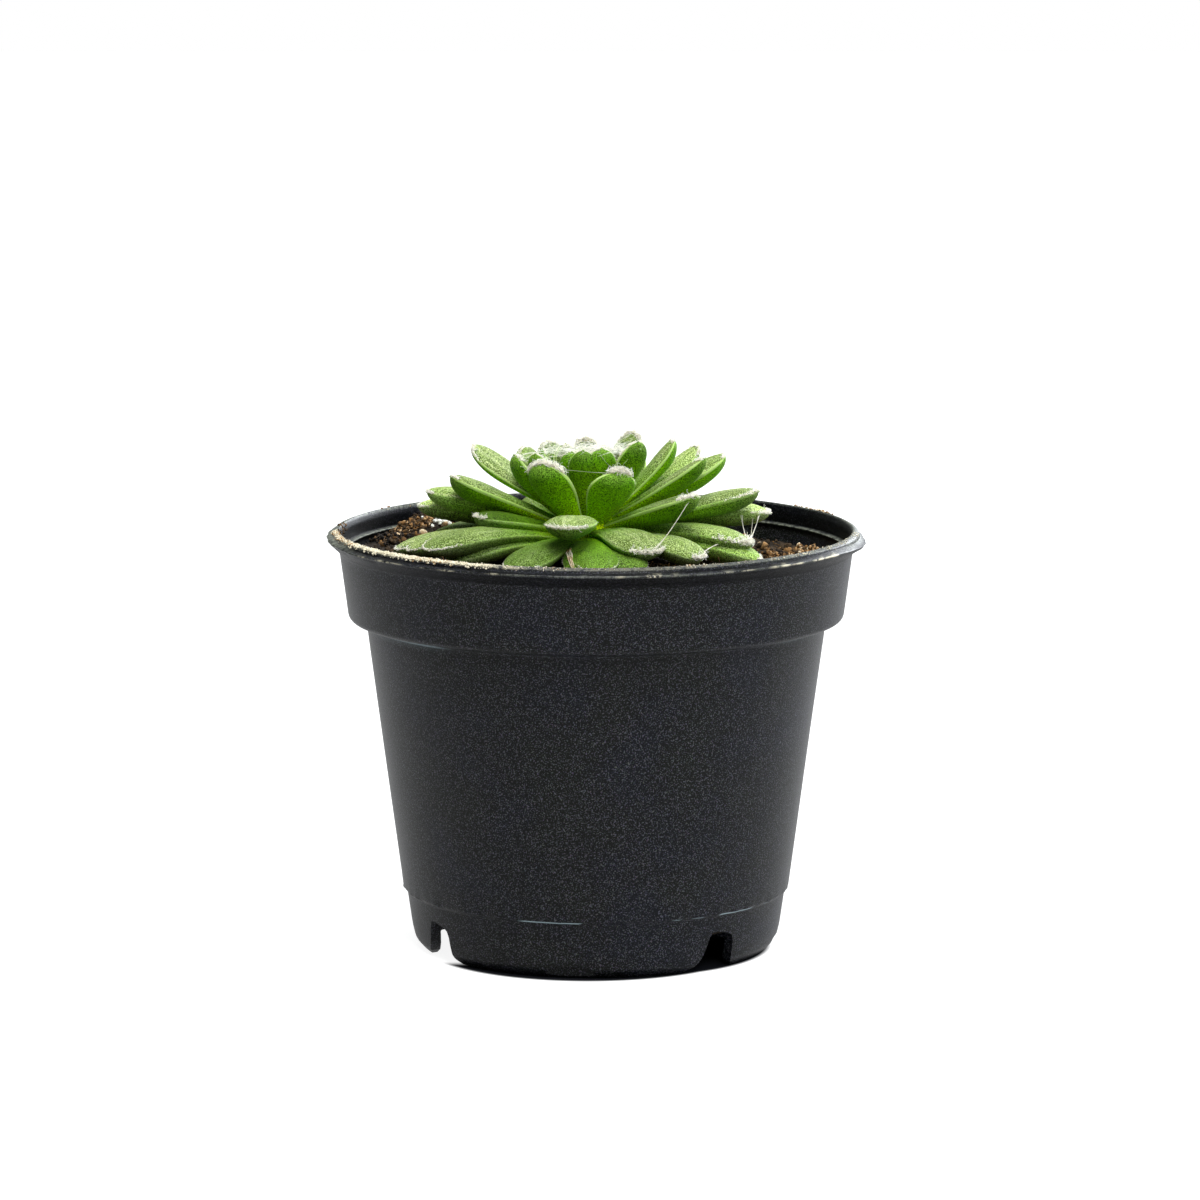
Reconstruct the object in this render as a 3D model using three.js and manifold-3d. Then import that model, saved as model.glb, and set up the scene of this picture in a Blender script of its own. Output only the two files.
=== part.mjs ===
// A cobweb houseleek, one of the hens and chicks, in its round nursery pot.
// Units are millimetres and +Z is up. The pot stands on z = 0 with its axis on the Z axis.
// -Y is the front. Azimuths are in degrees from the front, positive towards +X.
import * as THREE from "three";
import { mergeVertices } from "three/addons/utils/BufferGeometryUtils.js";
import Module from "manifold-3d";

const wasm = await Module();
wasm.setup();

// Driving dimensions of the pot
const rimDiameter = 105;
const potHeight = 81.6;
const footDiameter = 71.8;
const bodyBottomDiameter = 75.2;
const bodyTopDiameter = 88.6;
const collarBottomDiameter = 96.2;
const collarTopDiameter = 99.3;
const footHeight = 11;
const collarBottom = 64.7;
const collarTop = 76.6;
const wall = 1.1;
const floorUnderside = 5.4;
const floorTop = 6.5;
const landWidth = 1.2;
const landInset = 2;
const tipDrop = 1.4;
const lipDrop = 4;
const lipWidth = 2.8;
const turnSegments = 48;

// Openings in the pot's foot: four drain notches in two pairs, and shallow recesses in the toe between them.
// Their outlines are seen from outside: across and up. A notch leans over to its left, with spread toes.
const footAxis = -8;
const notchTurns = [49, 131, 229, 311];
const recessTurns = [0, 90, 180, 270];
const notchInnerRadius = 31;
const recessInnerRadius = footDiameter / 2 - 1.7;
const cutOuterRadius = 39;
const notchOutline = [[-8.6, -0.5], [-7, 0.2], [-5.2, 1.1], [-4.1, 2.6], [-2.7, 6.7], [-2.1, 7.6],
  [-0.8, 7.7], [2.3, 7], [3.3, 6], [3.6, 2], [4, 0.9], [5.8, -0.5]];
const recessOutline = [[-5, -0.5], [-4.6, 1.2], [-3.4, 2.4], [3.4, 2.4], [4.6, 1.2], [5, -0.5]];

// Driving dimensions of the soil
const clearance = 0.3;
const soilLevel = 75.2;
const soilSlope = -0.02;
const heapHeight = 3;
const heapSpread = 10;
const heapAt = new THREE.Vector2(-32, 30);
const soilRings = 6;
const crumbCount = 34;
const crumbSize = 0.8;
const crumbBand = 5.5;

// Driving dimensions of the plant
const crown = new THREE.Vector3(-1.4, 0, 78.4);
const oldLeafCount = 4;
const leafCount = 60;
const goldenAngle = 137.508;
const firstLeafAzimuth = 160;
const leafSides = 8;
const leafRings = 6;
const widestAt = 0.75;
const tipRest = 0.45;
const stemRadius = 3.6;
const stemTop = 76.6;
const stemBottom = 60;
const coreBottom = stemTop + clearance;
const rootCount = 6;
const rootSpread = 15;
const rootDepth = 44;

const degree = Math.PI / 180;

// Stops along the spiral, from the outermost leaf at 0 to the innermost at 1
const elevationStops = [[0, -4], [0.3, 5], [0.46, 28], [0.68, 48], [1, 82]];
const lengthStops = [[0, 34], [0.33, 34], [0.5, 27], [0.72, 23], [0.8, 21], [1, 18]];
const widthStops = [[0, 9], [0.2, 8.6], [0.3, 9.4], [0.5, 9.8], [0.58, 9.4], [0.64, 7], [0.7, 7.4], [1, 4.5]];
const thicknessStops = [[0, 4.8], [0.3, 4.8], [0.5, 4.6], [0.6, 3.7], [0.75, 2.9], [1, 1.8]];
const bowStops = [[0, 0.12], [0.27, 0.12], [0.36, 0.03], [0.5, 0], [0.65, -0.03], [1, -0.06]];
const rootRadiusStops = [[0, 4.5], [0.5, 4.2], [0.8, 2.4], [1, 0.8]];
const rootHeightStops = [[0, -0.2], [0.25, 1.6], [0.45, 3.6], [1, 8]];

// How single leaves stray from the spiral: turn and lift in degrees, stretch in millimetres, and for some
// how much more they arch as a share of their length, and how much wider they are in millimetres
const strays = {
  "-4": [-24, -2, -1, 0, 2],
  "-1": [-6, -2, -4],
  1: [-8, 5, 3],
  2: [-3, 1, 1],
  4: [5, 0, -4, 0, -3],
  5: [14, 1, 0],
  6: [-9, 12, 1],
  7: [-1, 2, -2],
  9: [-10, 3.2, 5, -0.01, 2],
  10: [3, 8, 2, 0, 1.5],
  11: [-15, 1, 0],
  12: [-7, -3, -1, -0.06],
  14: [-5, -3, 4, -0.04],
  15: [9, -1, -1],
  17: [-2, -6, 0, -0.05],
  19: [15, 10, -1],
  20: [-5, -7, -6, 0.06, 1.5],
  22: [-5, 0, -6.5],
  23: [3, 0, 3],
  24: [-22, -8, -4],
  25: [-7, -9.5, -1, 0.09],
  27: [12, -1, 2],
  28: [2, -6, 0],
  30: [0, 15, -4],
  31: [-5, -2, 5],
  32: [2, 15, -3],
  33: [2, 8, -4],
  35: [-5, 9, -2],
  36: [5, -5, 4],
  37: [12, 12, -2],
  38: [8, 19, -3, 0, -1.2],
  39: [-24, 3, 2],
  40: [-20, -14, 7.5, 0, 2],
  41: [4, 6, 2],
  42: [-16, 12, -3],
  44: [30, -21, 8],
  45: [11, 16, -2],
  46: [11, 6, 0],
  47: [5, -11, 5],
  50: [-11, 2, 1],
};

// A repeatable draw between 0 and 1 for the item of that number
function draw(number, salt) {
  const wave = Math.sin(number * 12.9898 + salt * 78.233) * 43758.5453;
  return wave - Math.floor(wave);
}

// The value at x on the straight lines between the stops
function between(stops, x) {
  const next = stops.findIndex((stop) => stop[0] >= x);
  if (next <= 0) return stops[0][1];
  const [x0, y0] = stops[next - 1];
  const [x1, y1] = stops[next];
  return y0 + ((y1 - y0) * (x - x0)) / (x1 - x0);
}

function outward(azimuth) {
  return new THREE.Vector3(Math.sin(azimuth * degree), -Math.cos(azimuth * degree), 0);
}

// A closed geometry as a solid that can be joined and cut
function toSolid(geometry) {
  geometry.deleteAttribute("normal");
  geometry.deleteAttribute("uv");
  const merged = mergeVertices(geometry, 1e-4);
  const corners = merged.index.array;
  const kept = [];
  for (let i = 0; i < corners.length; i += 3) {
    const [a, b, c] = corners.slice(i, i + 3);
    if (a !== b && b !== c && c !== a) kept.push(a, b, c);
  }
  const vertProperties = new Float32Array(merged.attributes.position.array);
  const triVerts = new Uint32Array(kept);
  return new wasm.Manifold(new wasm.Mesh({ numProp: 3, vertProperties, triVerts }));
}

// Pieces joined into one body, with any hollow that they seal filled
function fused(pieces) {
  const bodies = wasm.Manifold.union(pieces).simplify(0.02).decompose();
  return bodies.reduce((largest, body) => (body.volume() > largest.volume() ? body : largest));
}

function toMesh(name, solid, material) {
  const { vertProperties, triVerts } = solid.getMesh();
  const geometry = new THREE.BufferGeometry();
  geometry.setAttribute("position", new THREE.BufferAttribute(vertProperties, 3));
  geometry.setIndex(new THREE.BufferAttribute(triVerts, 1));
  geometry.computeVertexNormals();
  const mesh = new THREE.Mesh(geometry, material);
  mesh.name = name;
  return mesh;
}

// A profile of [radius, height] points turned about the Z axis
function turned(profile, segments = turnSegments) {
  const points = profile.map(([radius, height]) => new THREE.Vector2(radius, height));
  return new THREE.LatheGeometry(points, segments).rotateX(Math.PI / 2);
}

// An outline drawn in the tangent plane at the foot and extruded outwards through the skirt
function footCutter(outline, innerRadius, azimuth) {
  const shape = new THREE.Shape(outline.map(([x, y]) => new THREE.Vector2(x, y)));
  const depth = cutOuterRadius - innerRadius;
  const geometry = new THREE.ExtrudeGeometry(shape, { depth, bevelEnabled: false, steps: 1 });
  geometry.rotateX(Math.PI / 2);
  geometry.translate(0, -innerRadius, 0);
  geometry.rotateZ(azimuth * degree);
  return toSolid(geometry);
}

// Inside line of the pot wall, from the floor up to the ledge under the lip
const wallLine = [
  [footDiameter / 2 - wall, floorTop],
  [footDiameter / 2 - 0.3, footHeight - 1],
  [bodyBottomDiameter / 2 - wall, footHeight + 1],
  [bodyTopDiameter / 2 - wall, collarBottom - 3],
  [bodyTopDiameter / 2 - wall + 0.25, collarBottom + 0.2],
  [collarBottomDiameter / 2 - wall, collarBottom + 1],
  [collarTopDiameter / 2 - wall, collarTop + 0.2],
];

function makePot() {
  const foot = footDiameter / 2;
  const underFloor = [
    [0, floorUnderside],
    [foot - landInset, floorUnderside],
    [foot - landInset - landWidth, 0],
    [foot - landInset, 0],
  ];
  const outside = [
    [foot - 0.6, 1.5],
    [foot, 3.9],
    [foot + 1, footHeight - 0.2],
    [bodyBottomDiameter / 2, footHeight + 0.4],
    [bodyTopDiameter / 2, collarBottom - 3.7],
    [bodyTopDiameter / 2 + 0.25, collarBottom - 1.1],
    [collarBottomDiameter / 2 - 0.5, collarBottom - 0.4],
    [collarBottomDiameter / 2, collarBottom + 0.2],
    [collarTopDiameter / 2, collarTop],
  ];
  const rim = rimDiameter / 2;
  const tip = potHeight - tipDrop;
  const lip = [
    [collarTopDiameter / 2 + 0.2, potHeight - lipDrop],
    [rim - 0.35, tip - 0.5],
    [rim, tip],
    [rim - 0.25, tip + 0.35],
    [rim - lipWidth + 0.7, potHeight],
    [rim - lipWidth, potHeight - 0.4],
    [rim - lipWidth - 0.35, potHeight - 1.4],
    [collarTopDiameter / 2 - wall + 0.4, collarTop + 1],
  ];
  const inside = [...wallLine].reverse();
  const axisEnd = [0, floorTop];
  let pot = toSolid(turned([...underFloor, ...outside, ...lip, ...inside, axisEnd]));
  for (const turn of notchTurns) {
    pot = pot.subtract(footCutter(notchOutline, notchInnerRadius, footAxis + turn));
  }
  for (const turn of recessTurns) {
    pot = pot.subtract(footCutter(recessOutline, recessInnerRadius, footAxis + turn));
  }
  return pot;
}

// Height of the soil's surface: level with a slight slope, lumpy, and heaped up at the back left
function soilHeight(x, y) {
  const fromHeap = Math.hypot(x - heapAt.x, y - heapAt.y) / heapSpread;
  const heap = heapHeight * Math.exp(-fromHeap * fromHeap);
  const lumps = 0.25 * Math.sin(0.55 * x + 1.1) * Math.cos(0.47 * y - 0.4);
  const ripples = 0.15 * Math.sin(1.3 * x - 0.7 * y);
  return soilLevel + soilSlope * x + heap + lumps + ripples;
}

function makeSoil(rootHoles) {
  const side = wallLine.slice(0, -1).map(([radius, height]) => [radius - clearance, height + clearance]);
  const topRadius = between(wallLine.map(([radius, height]) => [height, radius]), soilLevel) - clearance;
  const top = [];
  for (let i = 0; i <= soilRings; i++) {
    top.push([topRadius * (1 - i / soilRings), soilLevel]);
  }
  const body = turned([[0, floorTop + clearance], ...side, ...top]);
  const position = body.attributes.position;
  for (let i = 0; i < position.count; i++) {
    if (position.getZ(i) < soilLevel - 0.01) continue;
    position.setZ(i, soilHeight(position.getX(i), position.getY(i)));
  }
  const crumbs = [];
  for (let i = 0; i < crumbCount; i++) {
    const azimuth = i * goldenAngle;
    const size = crumbSize * (1 + draw(i, 3));
    const at = outward(azimuth).multiplyScalar(topRadius - 2 * crumbSize - crumbBand * draw(i, 4));
    at.z = soilHeight(at.x, at.y) - 0.2 * size;
    const crumb = new THREE.IcosahedronGeometry(size, 0);
    crumb.rotateX(6 * draw(i, 5));
    crumb.rotateZ(6 * draw(i, 6));
    crumb.scale(1, 1, 0.75);
    crumb.translate(at.x, at.y, at.z);
    crumbs.push(toSolid(crumb));
  }
  return fused([toSolid(body), ...crumbs]).subtract(rootHoles);
}

// The short stem and its roots, grown by extra all round so that the same shape can cut their holes
function makeRoots(extra) {
  const stem = [
    [0, stemBottom - extra],
    [1 + extra, stemBottom + 1 - extra],
    [stemRadius - 0.4 + extra, stemBottom + 10],
    [stemRadius + extra, stemTop - 3.6],
    [stemRadius - 0.4 + extra, stemTop + extra],
    [0, stemTop + extra],
  ];
  const pieces = [toSolid(turned(stem, 12).translate(crown.x, crown.y, 0))];
  for (let i = 0; i < rootCount; i++) {
    const direction = outward((360 / rootCount) * i + 30 * draw(i, 7));
    const radius = 0.8 + 0.4 * draw(i, 8) + extra;
    const reach = rootSpread * (1 + 0.8 * draw(i, 9));
    const bottom = rootDepth * (1 - 0.6 * draw(i, 10)) - 1.5 * extra;
    const start = new THREE.Vector3(crown.x, crown.y, stemBottom + 8).addScaledVector(direction, 1);
    const bend = new THREE.Vector3(crown.x, crown.y, stemBottom + 2).addScaledVector(direction, reach * 0.9);
    const end = new THREE.Vector3(crown.x, crown.y, bottom).addScaledVector(direction, reach);
    const section = new THREE.Shape();
    section.absarc(0, 0, radius, 0, 2 * Math.PI);
    const extrudePath = new THREE.QuadraticBezierCurve3(start, bend, end);
    const root = new THREE.ExtrudeGeometry(section, { steps: 7, curveSegments: 3, extrudePath });
    pieces.push(toSolid(root));
  }
  return fused(pieces);
}

// Where one leaf goes and how large it is. A leaf that would dip into the soil lies on it instead.
// Numbers below 0 are the oldest leaves, left over under the outermost turn of the spiral.
function leafPlan(number) {
  const along = number / (leafCount - 1);
  const chance = [8 * draw(number, 1) - 4, 5 * draw(number, 2) - 2.5, 0];
  const [turn, lift, stretch, arch = 0, widening = 0] = strays[number] ?? chance;
  const azimuth = firstLeafAzimuth + goldenAngle * number + turn;
  const elevation = (between(elevationStops, along) + lift) * degree;
  const length = between(lengthStops, along) + stretch;
  const width = between(widthStops, along) + widening;
  const thickness = between(thicknessStops, along);
  const away = outward(azimuth);
  const rootRadius = between(rootRadiusStops, along);
  const rootHeight = between(rootHeightStops, along);
  const base = crown.clone().addScaledVector(away, rootRadius);
  base.z += rootHeight;
  const tip = crown.clone().addScaledVector(away, length * Math.cos(elevation));
  tip.z += length * Math.sin(elevation);
  tip.z = Math.max(tip.z, soilHeight(tip.x, tip.y) + tipRest * thickness);
  const side = away.clone().cross(new THREE.Vector3(0, 0, 1));
  const chord = tip.clone().sub(base);
  const up = side.clone().cross(chord).normalize();
  const rise = (between(bowStops, along) + arch) * length;
  const middle = base.clone().addScaledVector(chord, 0.5).addScaledVector(up, rise);
  const spine = new THREE.QuadraticBezierCurve3(base, middle, tip);
  return { spine, side, width, thickness };
}

// Width along a leaf as a share of its greatest: a narrow base, widest at three quarters, a round end
function leafOutline(t) {
  if (t < widestAt) return 0.5 + 0.5 * Math.sin((Math.PI / 2) * (t / widestAt)) ** 2;
  return Math.max(0, 1 - ((t - widestAt) / (1 - widestAt)) ** 2) ** 0.5;
}

// A ball drawn out along the leaf's spine: flat above, keeled below
function makeLeaf(number) {
  const { spine, side, width, thickness } = leafPlan(number);
  const ball = new THREE.SphereGeometry(1, leafSides, leafRings);
  const position = ball.attributes.position;
  const point = new THREE.Vector3();
  for (let i = 0; i < position.count; i++) {
    point.fromBufferAttribute(position, i);
    const t = THREE.MathUtils.clamp((1 - point.y) / 2, 0, 1);
    const ring = Math.hypot(point.x, point.z);
    const share = leafOutline(t);
    const across = ring > 1e-6 ? (point.x / ring) * share * (width / 2) : 0;
    const bulge = ring > 1e-6 ? (point.z / ring) * share * thickness : 0;
    const up = side.clone().cross(spine.getTangent(t)).normalize();
    const at = spine.getPoint(t);
    at.addScaledVector(side, -across);
    at.addScaledVector(up, bulge * (bulge > 0 ? 0.35 : 0.65));
    position.setXYZ(i, at.x, at.y, at.z);
  }
  return toSolid(ball);
}

function makeRosette() {
  const core = [
    [0, coreBottom],
    [stemRadius + 0.8, coreBottom],
    [stemRadius + 3, coreBottom + 2.5],
    [stemRadius + 2.4, coreBottom + 6],
    [stemRadius, coreBottom + 11],
    [0, coreBottom + 13],
  ];
  const pieces = [toSolid(turned(core, 12).translate(crown.x, crown.y, 0))];
  for (let number = -oldLeafCount; number < leafCount; number++) {
    pieces.push(makeLeaf(number));
  }
  return fused(pieces);
}

const blackPlastic = new THREE.MeshStandardMaterial({ color: "#25272b", roughness: 0.5, metalness: 0 });
const darkPeat = new THREE.MeshStandardMaterial({ color: "#33261c", roughness: 1, metalness: 0 });
const rootBark = new THREE.MeshStandardMaterial({ color: "#7a6144", roughness: 0.9, metalness: 0 });
const greenLeaf = new THREE.MeshStandardMaterial({ color: "#4c7318", roughness: 0.55, metalness: 0 });

const group = new THREE.Group();
group.add(toMesh("pot", makePot(), blackPlastic));
group.add(toMesh("potting_soil", makeSoil(makeRoots(clearance)), darkPeat));
group.add(toMesh("roots", makeRoots(0), rootBark));
group.add(toMesh("rosette", makeRosette(), greenLeaf));

export default group;
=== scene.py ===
# A cobweb houseleek, one of the hens and chicks, in its black nursery pot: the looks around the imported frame.
import math

import bmesh
import bpy
import numpy as np
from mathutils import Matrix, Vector, noise


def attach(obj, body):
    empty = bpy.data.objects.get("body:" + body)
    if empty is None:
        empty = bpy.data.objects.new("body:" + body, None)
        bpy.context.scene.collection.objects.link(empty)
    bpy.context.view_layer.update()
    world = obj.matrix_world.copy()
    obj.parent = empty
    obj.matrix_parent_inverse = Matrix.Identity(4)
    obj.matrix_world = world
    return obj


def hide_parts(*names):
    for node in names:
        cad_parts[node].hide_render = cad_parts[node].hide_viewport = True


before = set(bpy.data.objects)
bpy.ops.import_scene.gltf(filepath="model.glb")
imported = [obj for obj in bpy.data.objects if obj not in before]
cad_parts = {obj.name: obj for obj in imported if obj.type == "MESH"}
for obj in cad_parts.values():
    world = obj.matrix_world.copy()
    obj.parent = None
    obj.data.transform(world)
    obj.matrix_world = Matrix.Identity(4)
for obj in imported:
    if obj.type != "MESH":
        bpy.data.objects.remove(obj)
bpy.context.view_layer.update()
print("frame loaded")

mm = 0.001
degree = math.pi / 180
body = "root"


def between(stops, x):  # value at x on the straight lines between the stops
    places, values = zip(*stops)
    return float(np.interp(x, places, values))


def draw(number, salt):  # the same repeatable draw that the solids use, 0 to 1
    wave = math.sin(number * 12.9898 + salt * 78.233) * 43758.5453
    return wave - math.floor(wave)


def outward(azimuth):  # azimuths are in degrees from the front, positive towards +X
    return np.array([math.sin(azimuth * degree), -math.cos(azimuth * degree), 0.0])


def around(radius, azimuth):  # x and y at that radius, azimuth in radians
    return radius * np.sin(azimuth), -radius * np.cos(azimuth)


def unit(vectors):
    length = np.linalg.norm(vectors, axis=-1, keepdims=True)
    return vectors / np.maximum(length, 1e-9)


def smooth(low, high, x):  # 0 below low, 1 above high, eased in between
    share = np.clip((np.asarray(x, float) - low) / (high - low), 0, 1)
    return share * share * (3 - 2 * share)


def newObject(name, data):
    item = bpy.data.objects.new(name, data)
    bpy.context.scene.collection.objects.link(item)
    return item


# Materials

def linear(code):  # sRGB hex to linear colour
    channels = [int(code[i:i + 2], 16) / 255 for i in (1, 3, 5)]
    return [c / 12.92 if c <= 0.04045 else ((c + 0.055) / 1.055) ** 2.4 for c in channels] + [1.0]


def addNode(tree, kind, settings=None, links=None, stops=None):
    node = tree.nodes.new(kind)
    for name, value in (settings or {}).items():
        setattr(node, name, value)
    for name, value in (links or {}).items():
        if isinstance(value, bpy.types.NodeSocket):
            tree.links.new(value, node.inputs[name])
        else:
            node.inputs[name].default_value = value
    if stops:
        ramp = node.color_ramp
        while len(ramp.elements) < len(stops):
            ramp.elements.new(1.0)
        for element, (place, code) in zip(ramp.elements, stops):
            element.position = place
            element.color = linear(code)
    return node


def newMaterial(name):
    material = bpy.data.materials.new(name)
    material.use_nodes = True
    tree = material.node_tree
    tree.nodes.clear()
    output = addNode(tree, "ShaderNodeOutputMaterial")
    return material, tree, output


def calculate(tree, operation, *values):
    return addNode(tree, "ShaderNodeMath", {"operation": operation}, dict(enumerate(values))).outputs[0]


def mapped(tree, value, low, high, toLow=0.0, toHigh=1.0, eased=False):
    return addNode(tree, "ShaderNodeMapRange", {"interpolation_type": "SMOOTHSTEP" if eased else "LINEAR"}, {
        "Value": value, "From Min": low, "From Max": high, "To Min": toLow, "To Max": toHigh}).outputs[0]


def mixed(tree, share, under, over, blend="MIX"):
    return addNode(tree, "ShaderNodeMix", {"data_type": "RGBA", "blend_type": blend}, {
        0: share, 6: under, 7: over}).outputs[2]


def scaled(tree, colour, factor):
    return addNode(tree, "ShaderNodeVectorMath", {"operation": "SCALE"}, {
        0: colour, "Scale": factor}).outputs[0]


def ramped(tree, factor, stops):
    return addNode(tree, "ShaderNodeValToRGB", links={0: factor}, stops=stops).outputs[0]


def speckled(tree, place, size, detail, roughness=0.5):  # noise in lumps of about that many mm
    return addNode(tree, "ShaderNodeTexNoise", links={
        "Vector": place, "Scale": 1 / (size * mm), "Detail": detail, "Roughness": roughness}).outputs


def bumped(tree, height, strength, depth, invert=False):  # depth in mm
    return addNode(tree, "ShaderNodeBump", {"invert": invert}, {
        "Strength": strength, "Distance": depth * mm, "Height": height}).outputs[0]


def marked(tree, name):  # a number that the mesh carries at each of its points
    return addNode(tree, "ShaderNodeAttribute", {"attribute_name": name}).outputs["Fac"]


def placed(tree):  # where on the object a point lies
    return addNode(tree, "ShaderNodeTexCoord").outputs["Object"]


def finished(material, output, inputs):  # one Principled skin over the whole surface
    tree = material.node_tree
    skin = addNode(tree, "ShaderNodeBsdfPrincipled", links=inputs)
    tree.links.new(skin.outputs[0], output.inputs["Surface"])
    return material


# Meshes, all built from arrays in millimetres

def addMarks(mesh, marks):  # numbers at each point, which the materials read
    for name, values in marks.items():
        attribute = mesh.attributes.new(name, "FLOAT", "POINT")
        attribute.data.foreach_set("value", np.asarray(values, np.float32).ravel())


def shadeSmooth(mesh, creaseAngle):
    mesh.polygons.foreach_set("use_smooth", np.ones(len(mesh.polygons), bool))
    if creaseAngle < 180:
        mesh.set_sharp_from_angle(angle=creaseAngle * degree)


def makePiece(name, shape, material, creaseAngle=180):  # shape: points, a list of face arrays, marks
    points, faces, marks = shape
    mesh = bpy.data.meshes.new(name)
    corners = np.concatenate([f.ravel() for f in faces]).astype(np.int32)
    sizes = np.concatenate([np.full(len(f), f.shape[1]) for f in faces])
    starts = np.concatenate([[0], np.cumsum(sizes)[:-1]]).astype(np.int32)
    mesh.vertices.add(len(points))
    mesh.vertices.foreach_set("co", (np.asarray(points) * mm).astype(np.float32).ravel())
    mesh.loops.add(len(corners))
    mesh.loops.foreach_set("vertex_index", corners)
    mesh.polygons.add(len(sizes))
    mesh.polygons.foreach_set("loop_start", starts)
    mesh.update(calc_edges=True)
    addMarks(mesh, marks)
    shadeSmooth(mesh, creaseAngle)
    mesh.materials.append(material)
    piece = newObject(name, mesh)
    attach(piece, body)
    return piece


def joined(parts):  # several shapes as one
    points, faces, marks, count = [], [], {}, 0
    for partPoints, partFaces, partMarks in parts:
        points.append(partPoints)
        faces += [f + count for f in partFaces]
        for mark, values in partMarks.items():
            marks.setdefault(mark, []).append(values)
        count += len(partPoints)
    return np.concatenate(points), faces, {mark: np.concatenate(v) for mark, v in marks.items()}


def ringSides(index):  # four-cornered faces between neighbouring rings of point numbers
    low, high = index[..., :-1, :], index[..., 1:, :]
    return np.stack([low, np.roll(low, -1, -1), np.roll(high, -1, -1), high], -1).reshape(-1, 4)


def closedRings(rings, sides):  # the faces of rings in a row, with a fan at each end to an added point
    index = np.arange(rings * sides).reshape(rings, sides)
    bottom = np.stack([np.roll(index[0], -1), index[0], np.full(sides, rings * sides)], -1)
    top = np.stack([index[-1], np.roll(index[-1], -1), np.full(sides, rings * sides + 1)], -1)
    return [ringSides(index), np.concatenate([bottom, top])]


def triangleRound(centres, ahead, radii, aside):  # three points round each centre, square to its heading
    first = unit(np.cross(ahead, unit(aside)))
    second = np.cross(ahead, first)
    turns = [k * 2 * math.pi / 3 for k in range(3)]
    return [centres + radii * (math.cos(a) * first + math.sin(a) * second) for a in turns]


def tubes(paths, radii, rng):  # three-sided closed strands along paths (strand, step, xyz)
    count, steps, _ = paths.shape
    ahead = unit(np.gradient(paths, axis=1))
    rings = triangleRound(paths, ahead, radii[..., None], rng.normal(size=(count, 1, 3)))
    index = np.arange(count * steps * 3).reshape(count, steps, 3)
    caps = np.concatenate([index[:, 0, ::-1], index[:, -1]])
    return np.stack(rings, axis=2).reshape(-1, 3), [ringSides(index), caps]


def spikes(roots, tips, radius, rng):  # four-triangle hairs, closed at the root
    base = triangleRound(roots, unit(tips - roots), radius, rng.normal(size=roots.shape))
    points = np.stack(base + [tips], axis=1).reshape(-1, 3)
    a, b, c, top = np.arange(len(roots) * 4).reshape(-1, 4).T
    faces = np.concatenate([np.stack(f, 1) for f in ((a, b, top), (b, c, top), (c, a, top), (c, b, a))])
    return points, [faces]


def unitBall(level):
    ball = bmesh.new()
    bmesh.ops.create_icosphere(ball, subdivisions=level, radius=1)
    points = np.array([v.co[:] for v in ball.verts])
    faces = np.array([[v.index for v in f.verts] for f in ball.faces])
    ball.free()
    return points, faces


def lumps(centres, sizes, stretch, rng, level=2, rough=0.3):  # rough grains, each of its own shape
    ball, ballFaces = unitBall(level)
    count = len(centres)
    points = np.repeat(ball[None], count, 0)
    swell = np.ones((count, len(ball)))
    for octave in range(4):
        axis = unit(rng.normal(size=(count, 1, 3)))
        rate = rng.uniform(1.5, 3.5, (count, 1)) * (1 + octave)
        phase = rng.uniform(0, 2 * math.pi, (count, 1))
        swell += rough / (1 + octave) * np.sin(rate * (ball[None] * axis).sum(-1) + phase)
    points = points * swell[..., None] * np.broadcast_to(stretch, (count, 3))[:, None]
    spin = np.linalg.qr(rng.normal(size=(count, 3, 3)))[0]
    spin *= np.sign(np.linalg.det(spin))[:, None, None]
    points = np.einsum("nij,nvj->nvi", spin, points) * np.asarray(sizes)[:, None, None]
    points = points + np.asarray(centres)[:, None]
    faces = ballFaces[None] + len(ball) * np.arange(count)[:, None, None]
    return points.reshape(-1, 3), [faces.reshape(-1, 3)], len(ball)


def toned(grains, tone):  # lumps as a shape, each with its own tone
    points, faces, each = grains
    return points, faces, {"tone": np.repeat(tone, each)}


def evenlyToned(strands, tone):  # tubes or spikes as a shape, all with one tone
    points, faces = strands
    return points, faces, {"tone": np.full(len(points), tone)}


# Camera, floor and light

studio = {
    "lens": 169.4, "sensor": 36,  # mm
    "cameraPlace": (0.00078, -1.083, 0.236),
    "cameraDown": 8.85,  # degrees
    "floorSize": 6.0,  # m
    "floorGlow": 0.9, "floorFill": 0.5,  # what the camera sees of the floor, and what the object gets from it
    "shadowUnder": (0.0045, -0.0035, 0.0284),  # x, y and radius in m of the painted shadows on the floor, under the pot and along its front
    "shadowFront": (-0.0015, -0.0045, 0.0312),
    "shadowEdge": 1.5, "shadowFrontEnds": (-23, -19),  # mm
    "frontLight": 0.06,  # how bright the room is behind the camera
    "backLight": 1.0, "topLight": 0.9, "rightLight": 0.3,  # and how much brighter it gets that way
    "leftShare": 0.25, "rightShare": 1.95,  # the room is brighter on the right than on the left
    "roomStrength": 0.9,
}


def makeCamera():
    data = bpy.data.cameras.new("camera")
    data.lens = studio["lens"]
    data.sensor_width = studio["sensor"]
    data.clip_end = 20
    camera = newObject("camera", data)
    camera.location = studio["cameraPlace"]
    camera.rotation_euler = ((90 - studio["cameraDown"]) * degree, 0, 0)
    bpy.context.scene.camera = camera
    bpy.context.scene.view_settings.view_transform = "Standard"
    bpy.context.scene.view_settings.look = "None"


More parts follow.
